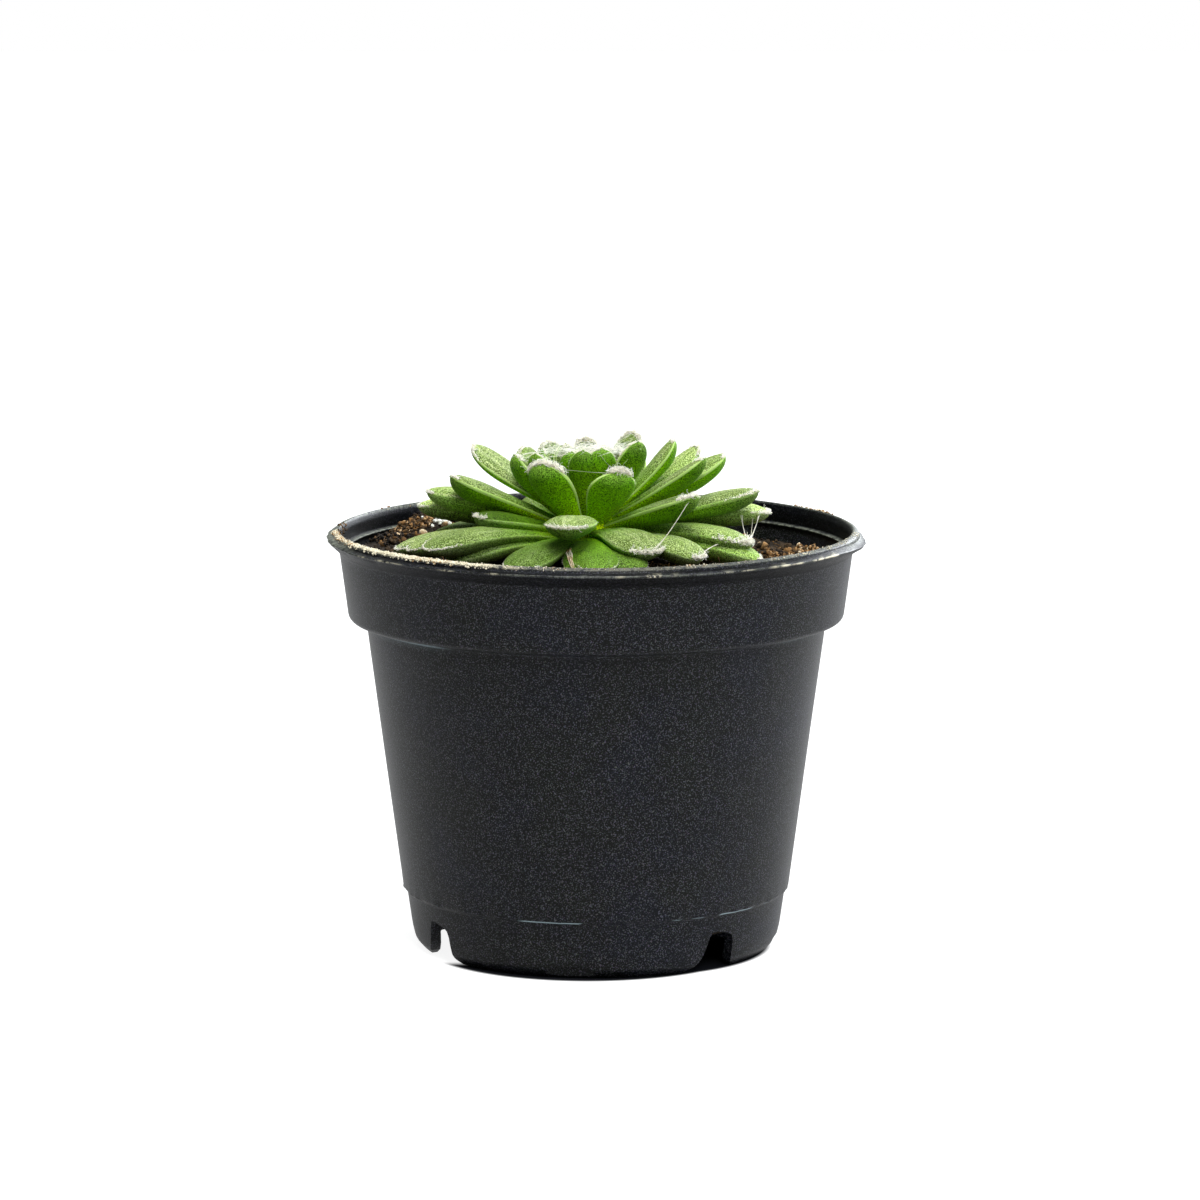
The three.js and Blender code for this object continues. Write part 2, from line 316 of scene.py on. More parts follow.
def makeFloor():
    # Opal acrylic light table: it glows, so the floor stays white right up to the painted shadow under and in
    # front of the pot
    material, tree, output = newMaterial("opalAcrylicFloor")
    place = placed(tree)
    shades = []
    for x, y, radius in (studio["shadowUnder"], studio["shadowFront"]):
        away = addNode(tree, "ShaderNodeVectorMath", {"operation": "DISTANCE"}, {0: place, 1: (x, y, 0)})
        end = radius + studio["shadowEdge"] * mm
        shades.append(mapped(tree, away.outputs["Value"], radius, end, 1.0, 0.0, eased=True))
    depth = addNode(tree, "ShaderNodeSeparateXYZ", links={0: place}).outputs["Y"]
    start, end = studio["shadowFrontEnds"]
    inFront = mapped(tree, depth, start * mm, end * mm, 1.0, 0.0, eased=True)
    front = calculate(tree, "MULTIPLY", shades[1], inFront)
    # painted shadow: the floor is darkened and its glow turned off under the pot and in a band along its front
    dark = calculate(tree, "MAXIMUM", shades[0], front)
    isSeen = addNode(tree, "ShaderNodeLightPath").outputs["Is Camera Ray"]
    level = mapped(tree, isSeen, 0.0, 1.0, studio["floorFill"], studio["floorGlow"])
    strength = calculate(tree, "MULTIPLY", level, calculate(tree, "SUBTRACT", 1.0, dark))
    glow = addNode(tree, "ShaderNodeEmission", links={"Color": linear("#ffffff"), "Strength": strength})
    tone = mixed(tree, dark, linear("#8c8c8c"), linear("#1c1d21"))
    skin = addNode(tree, "ShaderNodeBsdfDiffuse", links={"Color": tone})
    both = addNode(tree, "ShaderNodeAddShader", links={0: glow.outputs[0], 1: skin.outputs[0]})
    tree.links.new(both.outputs[0], output.inputs["Surface"])
    half = studio["floorSize"] / 2
    mesh = bpy.data.meshes.new("floor")
    corners = [(-half, -half, 0), (half, -half, 0), (half, half, 0), (-half, half, 0)]
    mesh.from_pydata(corners, [], [(0, 1, 2, 3)])
    mesh.materials.append(material)
    floor = newObject("floor", mesh)
    floor.location.z = -0.1 * mm


def makeRoom():
    world = bpy.data.worlds.new("paleRoom")
    world.use_nodes = True
    tree = world.node_tree
    tree.nodes.clear()
    output = addNode(tree, "ShaderNodeOutputWorld")
    direction = addNode(tree, "ShaderNodeTexCoord").outputs["Generated"]
    parts = addNode(tree, "ShaderNodeSeparateXYZ", links={0: direction}).outputs
    turned = calculate(tree, "ADD", parts["Y"], calculate(tree, "MULTIPLY", parts["Z"], studio["topLight"]))
    turned = calculate(tree, "MULTIPLY_ADD", parts["X"], studio["rightLight"], turned)
    share = mapped(tree, turned, -0.75, 0.5, studio["frontLight"], studio["backLight"], eased=True)
    sideways = mapped(tree, parts["X"], -0.7, 0.7, studio["leftShare"], studio["rightShare"])
    hue = addNode(tree, "ShaderNodeMapRange", {"data_type": "FLOAT_VECTOR"}, {  # greener left, bluer right
        "Vector": parts["X"], "From Min": (-1, -1, -1), "From Max": (1, 1, 1),
        "To Min": linear("#f8fff2")[:3], "To Max": linear("#eef4ff")[:3]}).outputs["Vector"]
    tinted = scaled(tree, hue, calculate(tree, "MULTIPLY", share, sideways))
    room = addNode(tree, "ShaderNodeBackground", links={"Color": tinted, "Strength": studio["roomStrength"]})
    seen = addNode(tree, "ShaderNodeBackground", links={"Color": linear("#ffffff"), "Strength": 1.0})
    isSeen = addNode(tree, "ShaderNodeLightPath").outputs["Is Camera Ray"]
    mixed = addNode(tree, "ShaderNodeMixShader", links={0: isSeen, 1: room.outputs[0], 2: seen.outputs[0]})
    tree.links.new(mixed.outputs[0], output.inputs["Surface"])
    bpy.context.scene.world = world


def makeLight(name, place, target, size, power, colour="#ffffff"):
    data = bpy.data.lights.new(name, "AREA")
    data.shape = "DISK"
    data.size = size
    data.energy = power
    data.color = linear(colour)[:3]
    lamp = newObject(name, data)
    lamp.location = place
    lamp.rotation_euler = (Vector(target) - Vector(place)).to_track_quat("-Z", "Y").to_euler()


makeCamera()
makeFloor()
makeRoom()
makeLight("overheadSoftbox", (0.05, -0.25, 1.1), (0, 0, 0.08), 0.7, 15)
makeLight("frontSoftbox", (0.2, -0.95, 0.75), (0, 0, 0.09), 0.35, 4.2)
makeLight("backSoftbox", (0.55, 0.75, 0.42), (0, 0, 0.06), 0.5, 9, "#f4f8ff")
print("camera, floor and light made")


# Pot

pot = {
    "rimDiameter": 105, "height": 81.6, "footDiameter": 71.8,
    "bodyBottomDiameter": 75.2, "bodyTopDiameter": 88.6,
    "collarBottomDiameter": 96.2, "collarTopDiameter": 99.3,
    "footHeight": 11, "collarBottom": 64.7, "collarTop": 76.6,
    "wall": 1.1, "floorUnderside": 5.4, "floorTop": 6.5, "landWidth": 1.2, "landInset": 2,
    "tipDrop": 1.4, "lipDrop": 4.0, "lipWidth": 2.8,
    "segments": 288, "stepLength": 2.5, "filletSteps": 5, "creaseAngle": 38,
    "footAxis": -8, "notchTurns": (49, 131, 229, 311), "recessTurns": (0, 90, 180, 270),
    "notchFrom": 31, "recessDepth": 1.7, "cutterReach": 39,
    "wobble": 0.07,  # mm that the moulded wall strays from round
    "rimTilt": 0.33, "lipSag": 0.9,  # mm that the rim leans forward, and that the lip sags at the right
    "frontWear": 0.22, "sideWear": 0.28, "tipWear": 0.35,  # how pale the lip is worn
    # how strong the painted shade is under the lip and inside the rim, then how strong the crust streaks and
    # collar scratches are
    "underLipShade": 0.7, "insideShade": 0.8, "streakCrust": 0.9, "collarScratch": 0.35,
}

# A drain notch seen from outside, leaning over to its left, and a shallow recess: mm across and up
notchShape = [
    (-8.6, -0.5), (-7.0, 0.2), (-5.2, 1.1), (-4.1, 2.6), (-3.3, 4.5), (-2.7, 6.7), (-2.1, 7.6), (-0.8, 7.7),
    (2.3, 7.0), (3.1, 6.4), (3.5, 5.2), (3.6, 2.0), (4.0, 0.9), (5.0, 0.1), (5.8, -0.5)]
recessShape = [
    (-5.0, -0.5), (-4.6, 1.2), (-4.0, 2.1), (-2.5, 2.4), (2.5, 2.4), (4.0, 2.1), (4.6, 1.2), (5.0, -0.5)]

# Marks on the pot: azimuth from, azimuth to, strength
# the step marks are scratches and a painted highlight along the step's edge
stepScratchHighlights = [(-23, -4, 1.0), (23, 26, 0.4), (29.5, 34, 0.5), (39, 54, 1.0), (60, 62.5, 0.4)]
collarScratches = [(-84, -36, 1.0), (48, 84, 0.5)]
rimCrust = [(-88, -60, 0.6), (-62, -26, 1.0), (-28, -14, 0.4), (-14, 30, 0.1)]
lipStreaks = [
    (-60, -44, 0.5), (-40, -30, 0.6), (-24, -20, 0.6), (4, 6, 0.5), (10, 13.5, 1.0), (15, 16.5, 0.6),
    (27, 29, 0.6), (31.5, 35, 0.9), (38.5, 40.5, 0.8), (41.5, 48.5, 1.0), (52, 62, 1.0)]
leftWear, rightWear = [(-150, -62, 0.8)], [(60, 150, 0.7)]


def potRadii():
    names = ("foot", "bodyBottom", "bodyTop", "collarBottom", "collarTop")
    return [pot[name + "Diameter"] / 2 for name in names]


def wallLine():  # inside of the wall, from the floor up to the ledge under the lip
    foot, bottom, top, collarLow, collarHigh = potRadii()
    wall, collarFoot = pot["wall"], pot["collarBottom"]
    return [
        (foot - wall, pot["floorTop"]), (foot - 0.3, pot["footHeight"] - 1),
        (bottom - wall, pot["footHeight"] + 1),
        (top - wall, collarFoot - 3), (top - wall + 0.25, collarFoot + 0.2),
        (collarLow - wall, collarFoot + 1), (collarHigh - wall, pot["collarTop"] + 0.2)]


def potCorners():
    foot, bottom, top, collarLow, collarHigh = potRadii()
    rim, wall, under = pot["rimDiameter"] / 2, pot["wall"], pot["floorUnderside"]
    crest, tip, lipFoot = pot["height"], pot["height"] - pot["tipDrop"], pot["height"] - pot["lipDrop"]
    inner = rim - pot["lipWidth"]
    inset, land = pot["landInset"], pot["landWidth"]
    footTop, collarFoot, collarHead = pot["footHeight"], pot["collarBottom"], pot["collarTop"]
    return [  # radius, height, fillet
        (0, under, 0),
        (foot - inset, under, 0.5),
        (foot - inset - land, 0, 0.25),
        (foot - inset, 0, 0.3),
        (foot - 0.6, 1.5, 0.6),
        (foot, 3.9, 1.0),
        (foot + 1, footTop - 0.2, 0.25),
        (bottom, footTop + 0.4, 0.3),
        (top, collarFoot - 3.7, 1.2),
        (top + 0.25, collarFoot - 1.1, 0.4),
        (collarLow - 0.5, collarFoot - 0.4, 0.3),
        (collarLow, collarFoot + 0.2, 0.5),
        (collarHigh, collarHead, 0.5),
        (collarHigh + 0.2, lipFoot, 0.7),
        (rim - 0.35, tip - 0.5, 0.35),
        (rim, tip - 0.15, 0.2),
        (rim - 0.2, tip + 0.1, 0.12),
        (rim - 1.3, crest - 0.9, 0.1),
        (rim - 1.45, crest - 0.4, 0.15),
        (inner + 0.25, crest, 0.3),
        (inner, crest - 0.45, 0.3),
        (inner - 0.35, crest - 1.4, 0.4),
        (inner - 0.4, collarHead + 1.75, 0.05),
        (inner - 0.4, collarHead + 1.35, 0.08),
        (collarHigh - wall - 0.5, collarHead + 1.15, 0.08),
        (collarHigh - wall - 0.45, collarHead + 0.85, 0.05),
        *[(radius, height, 0.5) for radius, height in wallLine()[::-1]],
        (0, pot["floorTop"], 0),
    ]


def roundedLine(corners):  # every corner turned on its fillet, and long runs divided
    line = []
    for i, (radius, height, fillet) in enumerate(corners):
        here = np.array([radius, height], float)
        if fillet == 0:
            line.append(here)
            continue
        arms = []
        for other in (corners[i - 1], corners[(i + 1) % len(corners)]):
            arm = np.array(other[:2], float) - here
            reach = min(fillet, 0.45 * np.linalg.norm(arm))
            arms.append(here + arm / np.linalg.norm(arm) * reach)
        for s in np.linspace(0, 1, pot["filletSteps"]):
            line.append((1 - s) ** 2 * arms[0] + 2 * s * (1 - s) * here + s * s * arms[1])
    divided = [line[0]]
    for point in line[1:]:
        gap = np.linalg.norm(point - divided[-1])
        start = divided[-1]
        for s in np.linspace(0, 1, 1 + max(1, round(gap / pot["stepLength"])))[1:]:
            divided.append(start + (point - start) * s)
    return np.array(divided)


def turnedMesh(line, segments):  # a line that starts and ends on the axis, turned about Z
    rings = line[1:-1]
    x, y = around(rings[:, :1], (np.arange(segments) * 2 * math.pi / segments)[None])
    points = np.stack([x, y, np.repeat(rings[:, 1:], segments, 1)], -1).reshape(-1, 3)
    ends = np.array([[0, 0, line[0, 1]], [0, 0, line[-1, 1]]])
    return np.concatenate([points, ends]), closedRings(len(rings), segments)


def cutFoot(piece):  # four drain notches through the foot, and four shallow recesses between them
    cutter = bmesh.new()
    recessFrom = pot["footDiameter"] / 2 - pot["recessDepth"]
    cuts = [(turn, notchShape, pot["notchFrom"]) for turn in pot["notchTurns"]]
    cuts += [(turn, recessShape, recessFrom) for turn in pot["recessTurns"]]
    for turn, outline, start in cuts:
        away, across = outward(pot["footAxis"] + turn), outward(pot["footAxis"] + turn + 90)
        inner, outer = [
            [cutter.verts.new((away * r + across * x + np.array([0, 0, z])) * mm) for x, z in outline]
            for r in (start, pot["cutterReach"])]
        cutter.faces.new(inner)
        cutter.faces.new(outer[::-1])
        for k in range(len(inner)):
            after = (k + 1) % len(inner)
            cutter.faces.new((inner[after], inner[k], outer[k], outer[after]))
    bmesh.ops.recalc_face_normals(cutter, faces=cutter.faces)
    mesh = bpy.data.meshes.new("footCutter")
    cutter.to_mesh(mesh)
    cutter.free()
    tool = newObject("footCutter", mesh)
    cut = piece.modifiers.new("openings", "BOOLEAN")
    cut.object = tool
    cut.operation = "DIFFERENCE"
    cut.solver = "EXACT"
    bpy.context.view_layer.update()
    finished = bpy.data.meshes.new_from_object(piece.evaluated_get(bpy.context.evaluated_depsgraph_get()))
    piece.modifiers.clear()
    piece.data = finished
    bpy.data.objects.remove(tool)


def rimLift(x, y):  # how far the rim, which leans and isn't quite flat, lies above its drawn height
    azimuth = np.arctan2(x, -y)
    return pot["rimTilt"] * y / 52 - 0.05 * (1 + np.sin(3 * azimuth + 1))


def within(x, start, full, fading, end):  # 0 outside start and end, 1 from full to fading
    return smooth(start, full, x) * (1 - smooth(fading, end, x))


def inRanges(azimuth, ranges, edge):  # the marks' strength at each azimuth, with soft ends
    strength = np.zeros(len(azimuth))
    for low, high, amount in ranges:
        rising, falling = smooth(low, low + edge, azimuth), 1 - smooth(high - edge, high, azimuth)
        strength = np.maximum(strength, amount * rising * falling)
    return strength


def markPot(mesh):  # wear, crust, scratches and painted shade at each point, with painted highlights on the step's edge and the inner ledge, found by its height and radius in mm
    points = np.empty(len(mesh.vertices) * 3, np.float32)
    mesh.vertices.foreach_get("co", points)
    points = points.reshape(-1, 3) / mm
    radius = np.hypot(points[:, 0], points[:, 1])
    azimuth = np.degrees(np.arctan2(points[:, 0], -points[:, 1]))
    z = points[:, 2] - smooth(77, 79, points[:, 2]) * rimLift(points[:, 0], points[:, 1])
    rim, crest, tip = pot["rimDiameter"] / 2, pot["height"], pot["height"] - pot["tipDrop"]
    head = pot["collarTop"]
    onLip = smooth(tip - 0.6, tip - 0.1, z) * smooth(rim - 3.0, rim - 2.75, radius)
    onCrest = smooth(crest - 0.6, crest - 0.4, z)
    onCrest = onCrest * (1 - smooth(rim - 1.5, rim - 1.3, radius)) * (radius > rim - 2.85)
    onTip = within(z, tip - 0.35, tip - 0.2, tip + 0.1, tip + 0.2) * smooth(rim - 0.5, rim - 0.3, radius)
    onSlope = within(z, tip + 0.05, tip + 0.2, crest - 1.0, crest - 0.8) * (radius > rim - 1.6)
    underLip = within(z, head, head + 1, tip - 0.5, tip - 0.3) * (radius > 49.8)
    # a painted highlight along the inner ledge, carried with the wear
    ledge = within(z, 77.5, 77.65, 77.9, 78.0) * (1 - smooth(48.3, 48.6, radius)) * (radius > 47.6)
    inside = smooth(76.5, 77.2, z) * (1 - smooth(rim - 3.05, rim - 2.9, radius)) * (1 - ledge)
    onStep = (1 - smooth(0.02, 0.12, np.abs(z - (pot["footHeight"] + 0.2)))) * smooth(36.4, 36.9, radius)
    underCollar = (1 - smooth(0.1, 0.5, np.abs(z - pot["collarBottom"] + 1.1))) * smooth(43.5, 44.0, radius)
    crestWear = pot["frontWear"] + pot["sideWear"] * smooth(20, 50, np.abs(azimuth))
    wear = np.maximum(np.maximum(crestWear * onCrest, pot["tipWear"] * onTip),
                      onLip * np.maximum(inRanges(azimuth, leftWear, 14), inRanges(azimuth, rightWear, 18)))
    # painted shade: darker on the lip's outer slope, under the lip and on the inside wall above the soil
    paintedShade = np.maximum(np.maximum(onSlope, pot["underLipShade"] * underLip), pot["insideShade"] * inside)
    crust = np.maximum(onCrest * inRanges(azimuth, rimCrust, 3),
                       pot["streakCrust"] * onTip * inRanges(azimuth, lipStreaks, 0.8))
    # scratches, and a painted highlight where the step's edge catches the light
    scratchAndHighlight = np.maximum(onStep * inRanges(azimuth, stepScratchHighlights, 1),
                         pot["collarScratch"] * underCollar * inRanges(azimuth, collarScratches, 10))
    addMarks(mesh, {"wear": np.maximum(wear, ledge), "crust": crust, "scratchAndHighlight": scratchAndHighlight, "paintedShade": paintedShade})


def potMaterial():
    # Black polypropylene, injection moulded in a spark-eroded tool: a satin skin with a fine grain,
    # so broad soft highlights at the edges and a speckled dark face
    material, tree, output = newMaterial("mouldedBlackPolypropylene")
    place = placed(tree)
    wear, crust, scratchAndHighlight, paintedShade = [marked(tree, name) for name in ("wear", "crust", "scratchAndHighlight", "paintedShade")]
    grain = speckled(tree, place, 0.25, 1.0, 0.6)  # a little coarser than the tool's
    cloud = speckled(tree, place, 14, 3.0)  # dust and haze
    patch = speckled(tree, place, 0.9, 3.0, 0.7)["Fac"]  # where the skin is worn or crusted
    fine = ramped(tree, grain["Fac"], [(0.45, "#000000"), (0.54, "#020303"), (0.66, "#525a62")])
    hue = ramped(tree, cloud["Fac"], [(0.38, "#090d06"), (0.5, "#050709"), (0.62, "#060b17")])
    dust = addNode(tree, "ShaderNodeVectorMath", {"operation": "MULTIPLY_ADD"}, {  # specks of every colour
        0: grain["Color"], 1: (9.0, 9.0, 9.0), 2: (-3.4, -3.4, -3.4)}).outputs[0]
    colour = mixed(tree, 0.15, mixed(tree, 0.45, fine, hue), dust, "MULTIPLY")
    # painted shade darkens the colour on the lip's slope, under the lip and inside the rim
    colour = scaled(tree, colour, mapped(tree, paintedShade, 0.0, 1.0, 1.0, 0.15))
    wearAndLedgeHighlight = calculate(tree, "MULTIPLY", wear, mapped(tree, patch, 0.4, 0.6, 0.08, 0.9))
    crusted = calculate(tree, "MULTIPLY", crust, mapped(tree, patch, 0.38, 0.5))
    # pale wear, crust and scratches, with painted highlights along the inner ledge and the step's edge
    for share, code in ((wearAndLedgeHighlight, "#7d8174"), (crusted, "#c4bda4"), (scratchAndHighlight, "#9fb4bb")):
        colour = mixed(tree, share, colour, linear(code))
    return finished(material, output, {
        "Base Color": colour, "Roughness": 0.4, "IOR": 1.49,
        # painted shade also dims the highlights there
        "Specular IOR Level": mapped(tree, paintedShade, 0.0, 1.0, 0.16, 0.03),
        "Normal": bumped(tree, grain["Fac"], 0.6, 0.06)})


def makePot(material):
    points, faces = turnedMesh(roundedLine(potCorners()), pot["segments"])
    azimuth = np.arctan2(points[:, 0], -points[:, 1])
    radius = np.hypot(points[:, 0], points[:, 1])
    onLip, atTip = smooth(77, 79, points[:, 2]), smooth(51.6, 52.2, radius)
    stray = pot["wobble"] * (np.sin(2 * azimuth + 0.6) + 0.5 * np.sin(5 * azimuth + 0.09 * points[:, 2]))
    stray *= smooth(12, 40, points[:, 2])
    stray -= 1.5 * pot["wobble"] * onLip
    cell = np.round(azimuth / (2 * math.pi) * pot["segments"])  # step and lip have uneven edges
    jag = np.modf(np.abs(np.sin(cell * 12.9898) * 43758.5453))[0] - 0.5
    slow = np.sin(cell * 0.9) * np.sin(cell * 0.37 + 2)
    atStep = (1 - smooth(0.1, 0.5, np.abs(points[:, 2] - pot["footHeight"] - 0.3))) * (radius > 36)
    stray += atStep * (0.22 * jag + 0.25 * slow) - atTip * (0.1 + 0.16 * jag + 0.1 * slow)
    points[:, :2] *= (1 + stray / 45)[:, None]
    flutter = 0.1 * np.sin(9 * azimuth + 1) * np.sin(4 * azimuth)
    points[:, 2] += onLip * smooth(50.8, 51.4, radius) * flutter
    atRight = np.exp(-((azimuth - math.pi / 2) / 0.38) ** 2)
    points[:, 2] += onLip * rimLift(points[:, 0], points[:, 1])
    points[:, 2] -= onLip * smooth(50.4, 52.2, radius) * pot["lipSag"] * atRight
    piece = makePiece("nursery_pot", (points, faces, {}), material, pot["creaseAngle"])
    cutFoot(piece)
    shadeSmooth(piece.data, pot["creaseAngle"])
    markPot(piece.data)
    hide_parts("pot")


makePot(potMaterial())
print("pot made")


# Soil

soil = {
    "level": 75.2, "slope": -0.02, "heapHeight": 3, "heapSpread": 10, "heapAt": (-32, 30), "clearance": 0.3,
    "rings": 76, "segments": 260, "relief": 0.75, "seed": 11, "rimSeed": 23,
    "crumbs": 2200, "smallestCrumb": 0.2, "crumbRange": 0.6,
    "drierFrom": 8, "driestFrom": 40,  # mm to the right
    "flakes": 70, "leftFlakes": 34, "flakeFrom": 30, "flakeTo": 45.5,
    "fibres": 90, "fibreSteps": 6, "fibreRadius": 0.09, "fibreTone": 0.3,
    "onCrumbs": 8, "crumbDepth": 0.9,  # so many perlite grains lie that much higher, on crumbs
}

# Grains that lie where they catch the eye: x, y, size in mm
perlite = [
    (-31.0, 24.2, 0.65), (-29.9, 24.8, 0.6), (-31.9, 24.9, 0.5), (-30.6, 26.0, 0.6), (-29.0, 24.0, 0.4),
    (-32.4, 23.2, 0.35), (-31.6, 26.4, 0.45), (-34.4, 27.0, 0.4), (22, 36, 1.3), (-8, 42, 1.1), (5, -44, 0.7)]

# Heaps of crumbs: x, y, spread in mm, how many, size, tone, height
heaps = [
    (33.8, 4, 1.3, 300, 0.25, 0.34, 2.3), (36.5, 8.5, 1.3, 160, 0.24, 0.1, 1.2),
    (39.8, 7, 1.2, 240, 0.27, 0.42, 2.3), (42.6, 9.5, 1.1, 220, 0.27, 0.44, 2.3),
    (11, -8, 2.2, 160, 0.2, 0.3, 0.6), (10.5, -42, 2.6, 130, 0.2, 0.3, 0.6),
    (-38.5, 25.5, 1.5, 260, 0.25, 0.36, 1.2), (-35, 26.5, 1.5, 200, 0.25, 0.34, 1.1),
    (-41, 18, 2.4, 260, 0.25, 0.04, 0.9), (-35.5, 31, 2.0, 260, 0.3, 0.12, 1.0),
    (-31, 33, 2.4, 220, 0.3, 0.1, 0.6), (-36.6, 29, 0.3, 9, 0.3, 0.44, 1.2),
    (27.2, 36, 0.7, 9, 0.35, 0.44, 0.6), (-20, 40, 4, 90, 0.35, 0.25, 0.8)]

# Crumbs on the rim: azimuth from and to, mm in from the edge, spread, how many, size, tone
rimGroups = [
    (-88, -64, 2.0, 0.35, 420, 0.12, 0.72), (-66, -40, 2.0, 0.38, 900, 0.13, 0.95),
    (-43, -31, 2.0, 0.36, 330, 0.14, 0.8), (-33, -22, 1.9, 0.36, 240, 0.14, 1.0),
    (-22, -8, 2.0, 0.35, 90, 0.08, 0.85), (-10, 36, 2.1, 0.3, 140, 0.06, 0.7),
    (19, 27, 2.4, 0.25, 14, 0.15, 0.85), (40, 84, 2.1, 0.4, 170, 0.08, 0.85),
    (-100, -70, 3.0, 0.2, 260, 0.18, 0.2), (112, 128, 2.2, 0.4, 70, 0.18, 0.55),
    (-150, -120, 2.6, 0.3, 18, 0.16, 0.6), (150, 175, 2.4, 0.3, 14, 0.16, 0.5)]


def soilHeight(x, y):
    fromHeap = np.hypot(x - soil["heapAt"][0], y - soil["heapAt"][1]) / soil["heapSpread"]
    heap = soil["heapHeight"] * np.exp(-fromHeap ** 2)
    lumpsHigh = 0.25 * np.sin(0.55 * x + 1.1) * np.cos(0.47 * y - 0.4)
    ripples = 0.15 * np.sin(1.3 * x - 0.7 * y)
    return soil["level"] + soil["slope"] * x + heap + lumpsHigh + ripples


def wallRadius(z):
    radii, heights = zip(*wallLine())
    return np.interp(z, heights, radii)


def soilMaterial():
    # Peat and composted bark, loose: dull and dark, each crumb of its own brown
    material, tree, output = newMaterial("loosePeatMix")
    specks = speckled(tree, placed(tree), 0.6, 5.0, 0.7)["Fac"]
    shifted = calculate(tree, "MULTIPLY_ADD", specks, 0.55, marked(tree, "tone"))
    colour = ramped(tree, shifted, [
        (0.12, "#0d0b09"), (0.34, "#221c16"), (0.52, "#453727"), (0.7, "#77552f"), (0.86, "#a5835a"),
        (1.0, "#d2cab2")])
    return finished(material, output, {
        "Base Color": colour, "Roughness": 0.92, "IOR": 1.4, "Specular IOR Level": 0.25,
        "Normal": bumped(tree, specks, 0.8, 0.15)})


def perliteMaterial():
    # Perlite, popped volcanic glass: a chalky white foam, pitted at a third of a millimetre
    material, tree, output = newMaterial("poppedPerlite")
    pits = addNode(tree, "ShaderNodeTexVoronoi", links={
        "Vector": placed(tree), "Scale": 1 / (0.3 * mm)}).outputs["Distance"]
    return finished(material, output, {
        "Base Color": ramped(tree, pits, [(0.0, "#e9ebe6"), (0.6, "#d6d7cf"), (1.0, "#a7a594")]),
        "Roughness": 0.8, "IOR": 1.5, "Specular IOR Level": 0.3,
        "Normal": bumped(tree, pits, 0.7, 0.1, invert=True)})


def soilGround():  # the whole body of soil, with a crumbly top
    level, gap = soil["level"], soil["clearance"]
    edge = float(wallRadius(level)) - gap
    side = [(0, pot["floorTop"] + gap)] + [(r - gap, z + gap) for r, z in wallLine()[:-1]]
    side += [(edge, level - 1)]
    radii = edge * np.linspace(1, 0, soil["rings"] + 1)[:-1]
    line = np.array(side + [(r, level) for r in radii] + [(0, level)])
    points, faces = turnedMesh(line, soil["segments"])
    tone = np.full(len(points), 0.05)
    for i in np.flatnonzero(points[:, 2] > level - 0.01):
        x, y = points[i, 0], points[i, 1]
        at = Vector((x, y, 0))
        rough = noise.fractal(at * 0.5, 0.9, 2.1, 4, noise_basis="PERLIN_ORIGINAL")
        crumb = 0.5 - min(1.0, noise.voronoi(at * 0.85)[0][0] * 1.6)
        fade = float(smooth(0, 1.2, edge - math.hypot(x, y)))
        rise = soil["relief"] * (0.5 * rough + 0.7 * crumb) * (0.35 + 0.65 * fade)
        points[i, 2] = soilHeight(x, y) + rise - 0.1
        tone[i] = 0.03 + 0.12 * max(0.0, crumb + 0.3) + 0.1 * max(0.0, rough)
    return points, faces, {"tone": tone}


def soilTop(x, y, sink, size):  # centres for grains of that size, lying on the soil
    return np.stack([x, y, soilHeight(x, y) + size * (1 - sink)], -1)


def crumbField(rng):  # single crumbs all over the soil, drier and browner on the right
    count = soil["crumbs"]
    azimuth = rng.uniform(0, 2 * math.pi, count)
    radius = 46.6 * np.sqrt(rng.uniform(0.12, 1, count))
    size = soil["smallestCrumb"] + soil["crumbRange"] * rng.uniform(0, 1, count) ** 4
    radius = np.minimum(radius, 47.2 - size)  # clear of the wall
    centres = soilTop(*around(radius, azimuth), rng.uniform(0.3, 0.75, count), size)
    grains = lumps(centres, size, rng.uniform(0.6, 1.25, (count, 3)), rng, level=2, rough=0.4)
    warm = rng.uniform(0, 1, count) ** 2.2
    dry = smooth(soil["drierFrom"], soil["driestFrom"], centres[:, 0])
    return toned(grains, 0.05 + 0.3 * warm + 0.28 * dry * rng.uniform(0, 1, count))


def crumbHeap(rng, x, y, spread, many, big, shade, high):
    px, py = rng.normal(x, spread, many), rng.normal(y, spread * 0.8, many)
    size = big * rng.uniform(0.6, 1.6, many)
    inward = np.minimum(1, (47.0 - size) / np.hypot(px, py))  # clear of the wall
    centres = soilTop(px * inward, py * inward, rng.uniform(-0.7, 0.5, many), size)
    near = np.exp(-((px - x) ** 2 + (py - y) ** 2) / (1.5 * spread ** 2))
    centres[:, 2] += high * near * rng.uniform(0, 1, many)
    grains = lumps(centres, size, rng.uniform(0.6, 1.2, (many, 3)), rng, level=1, rough=0.45)
    return toned(grains, shade + 0.25 * rng.uniform(-1, 1, many))


def barkFlakes(rng):  # flat and pale, most of them at the left
    count, left = soil["flakes"], soil["leftFlakes"]
    azimuth = np.concatenate([rng.uniform(-135, -105, left), rng.uniform(0, 360, count - left)]) * degree
    radius = rng.uniform(soil["flakeFrom"], soil["flakeTo"], count)
    size = rng.uniform(0.6, 1.5, count)
    centres = soilTop(*around(radius, azimuth), 0.7, 0.5 * size)
    grains = lumps(centres, size, [1, 0.55, 0.22], rng, level=2, rough=0.16)
    return toned(grains, rng.uniform(0.25, 0.68, count))


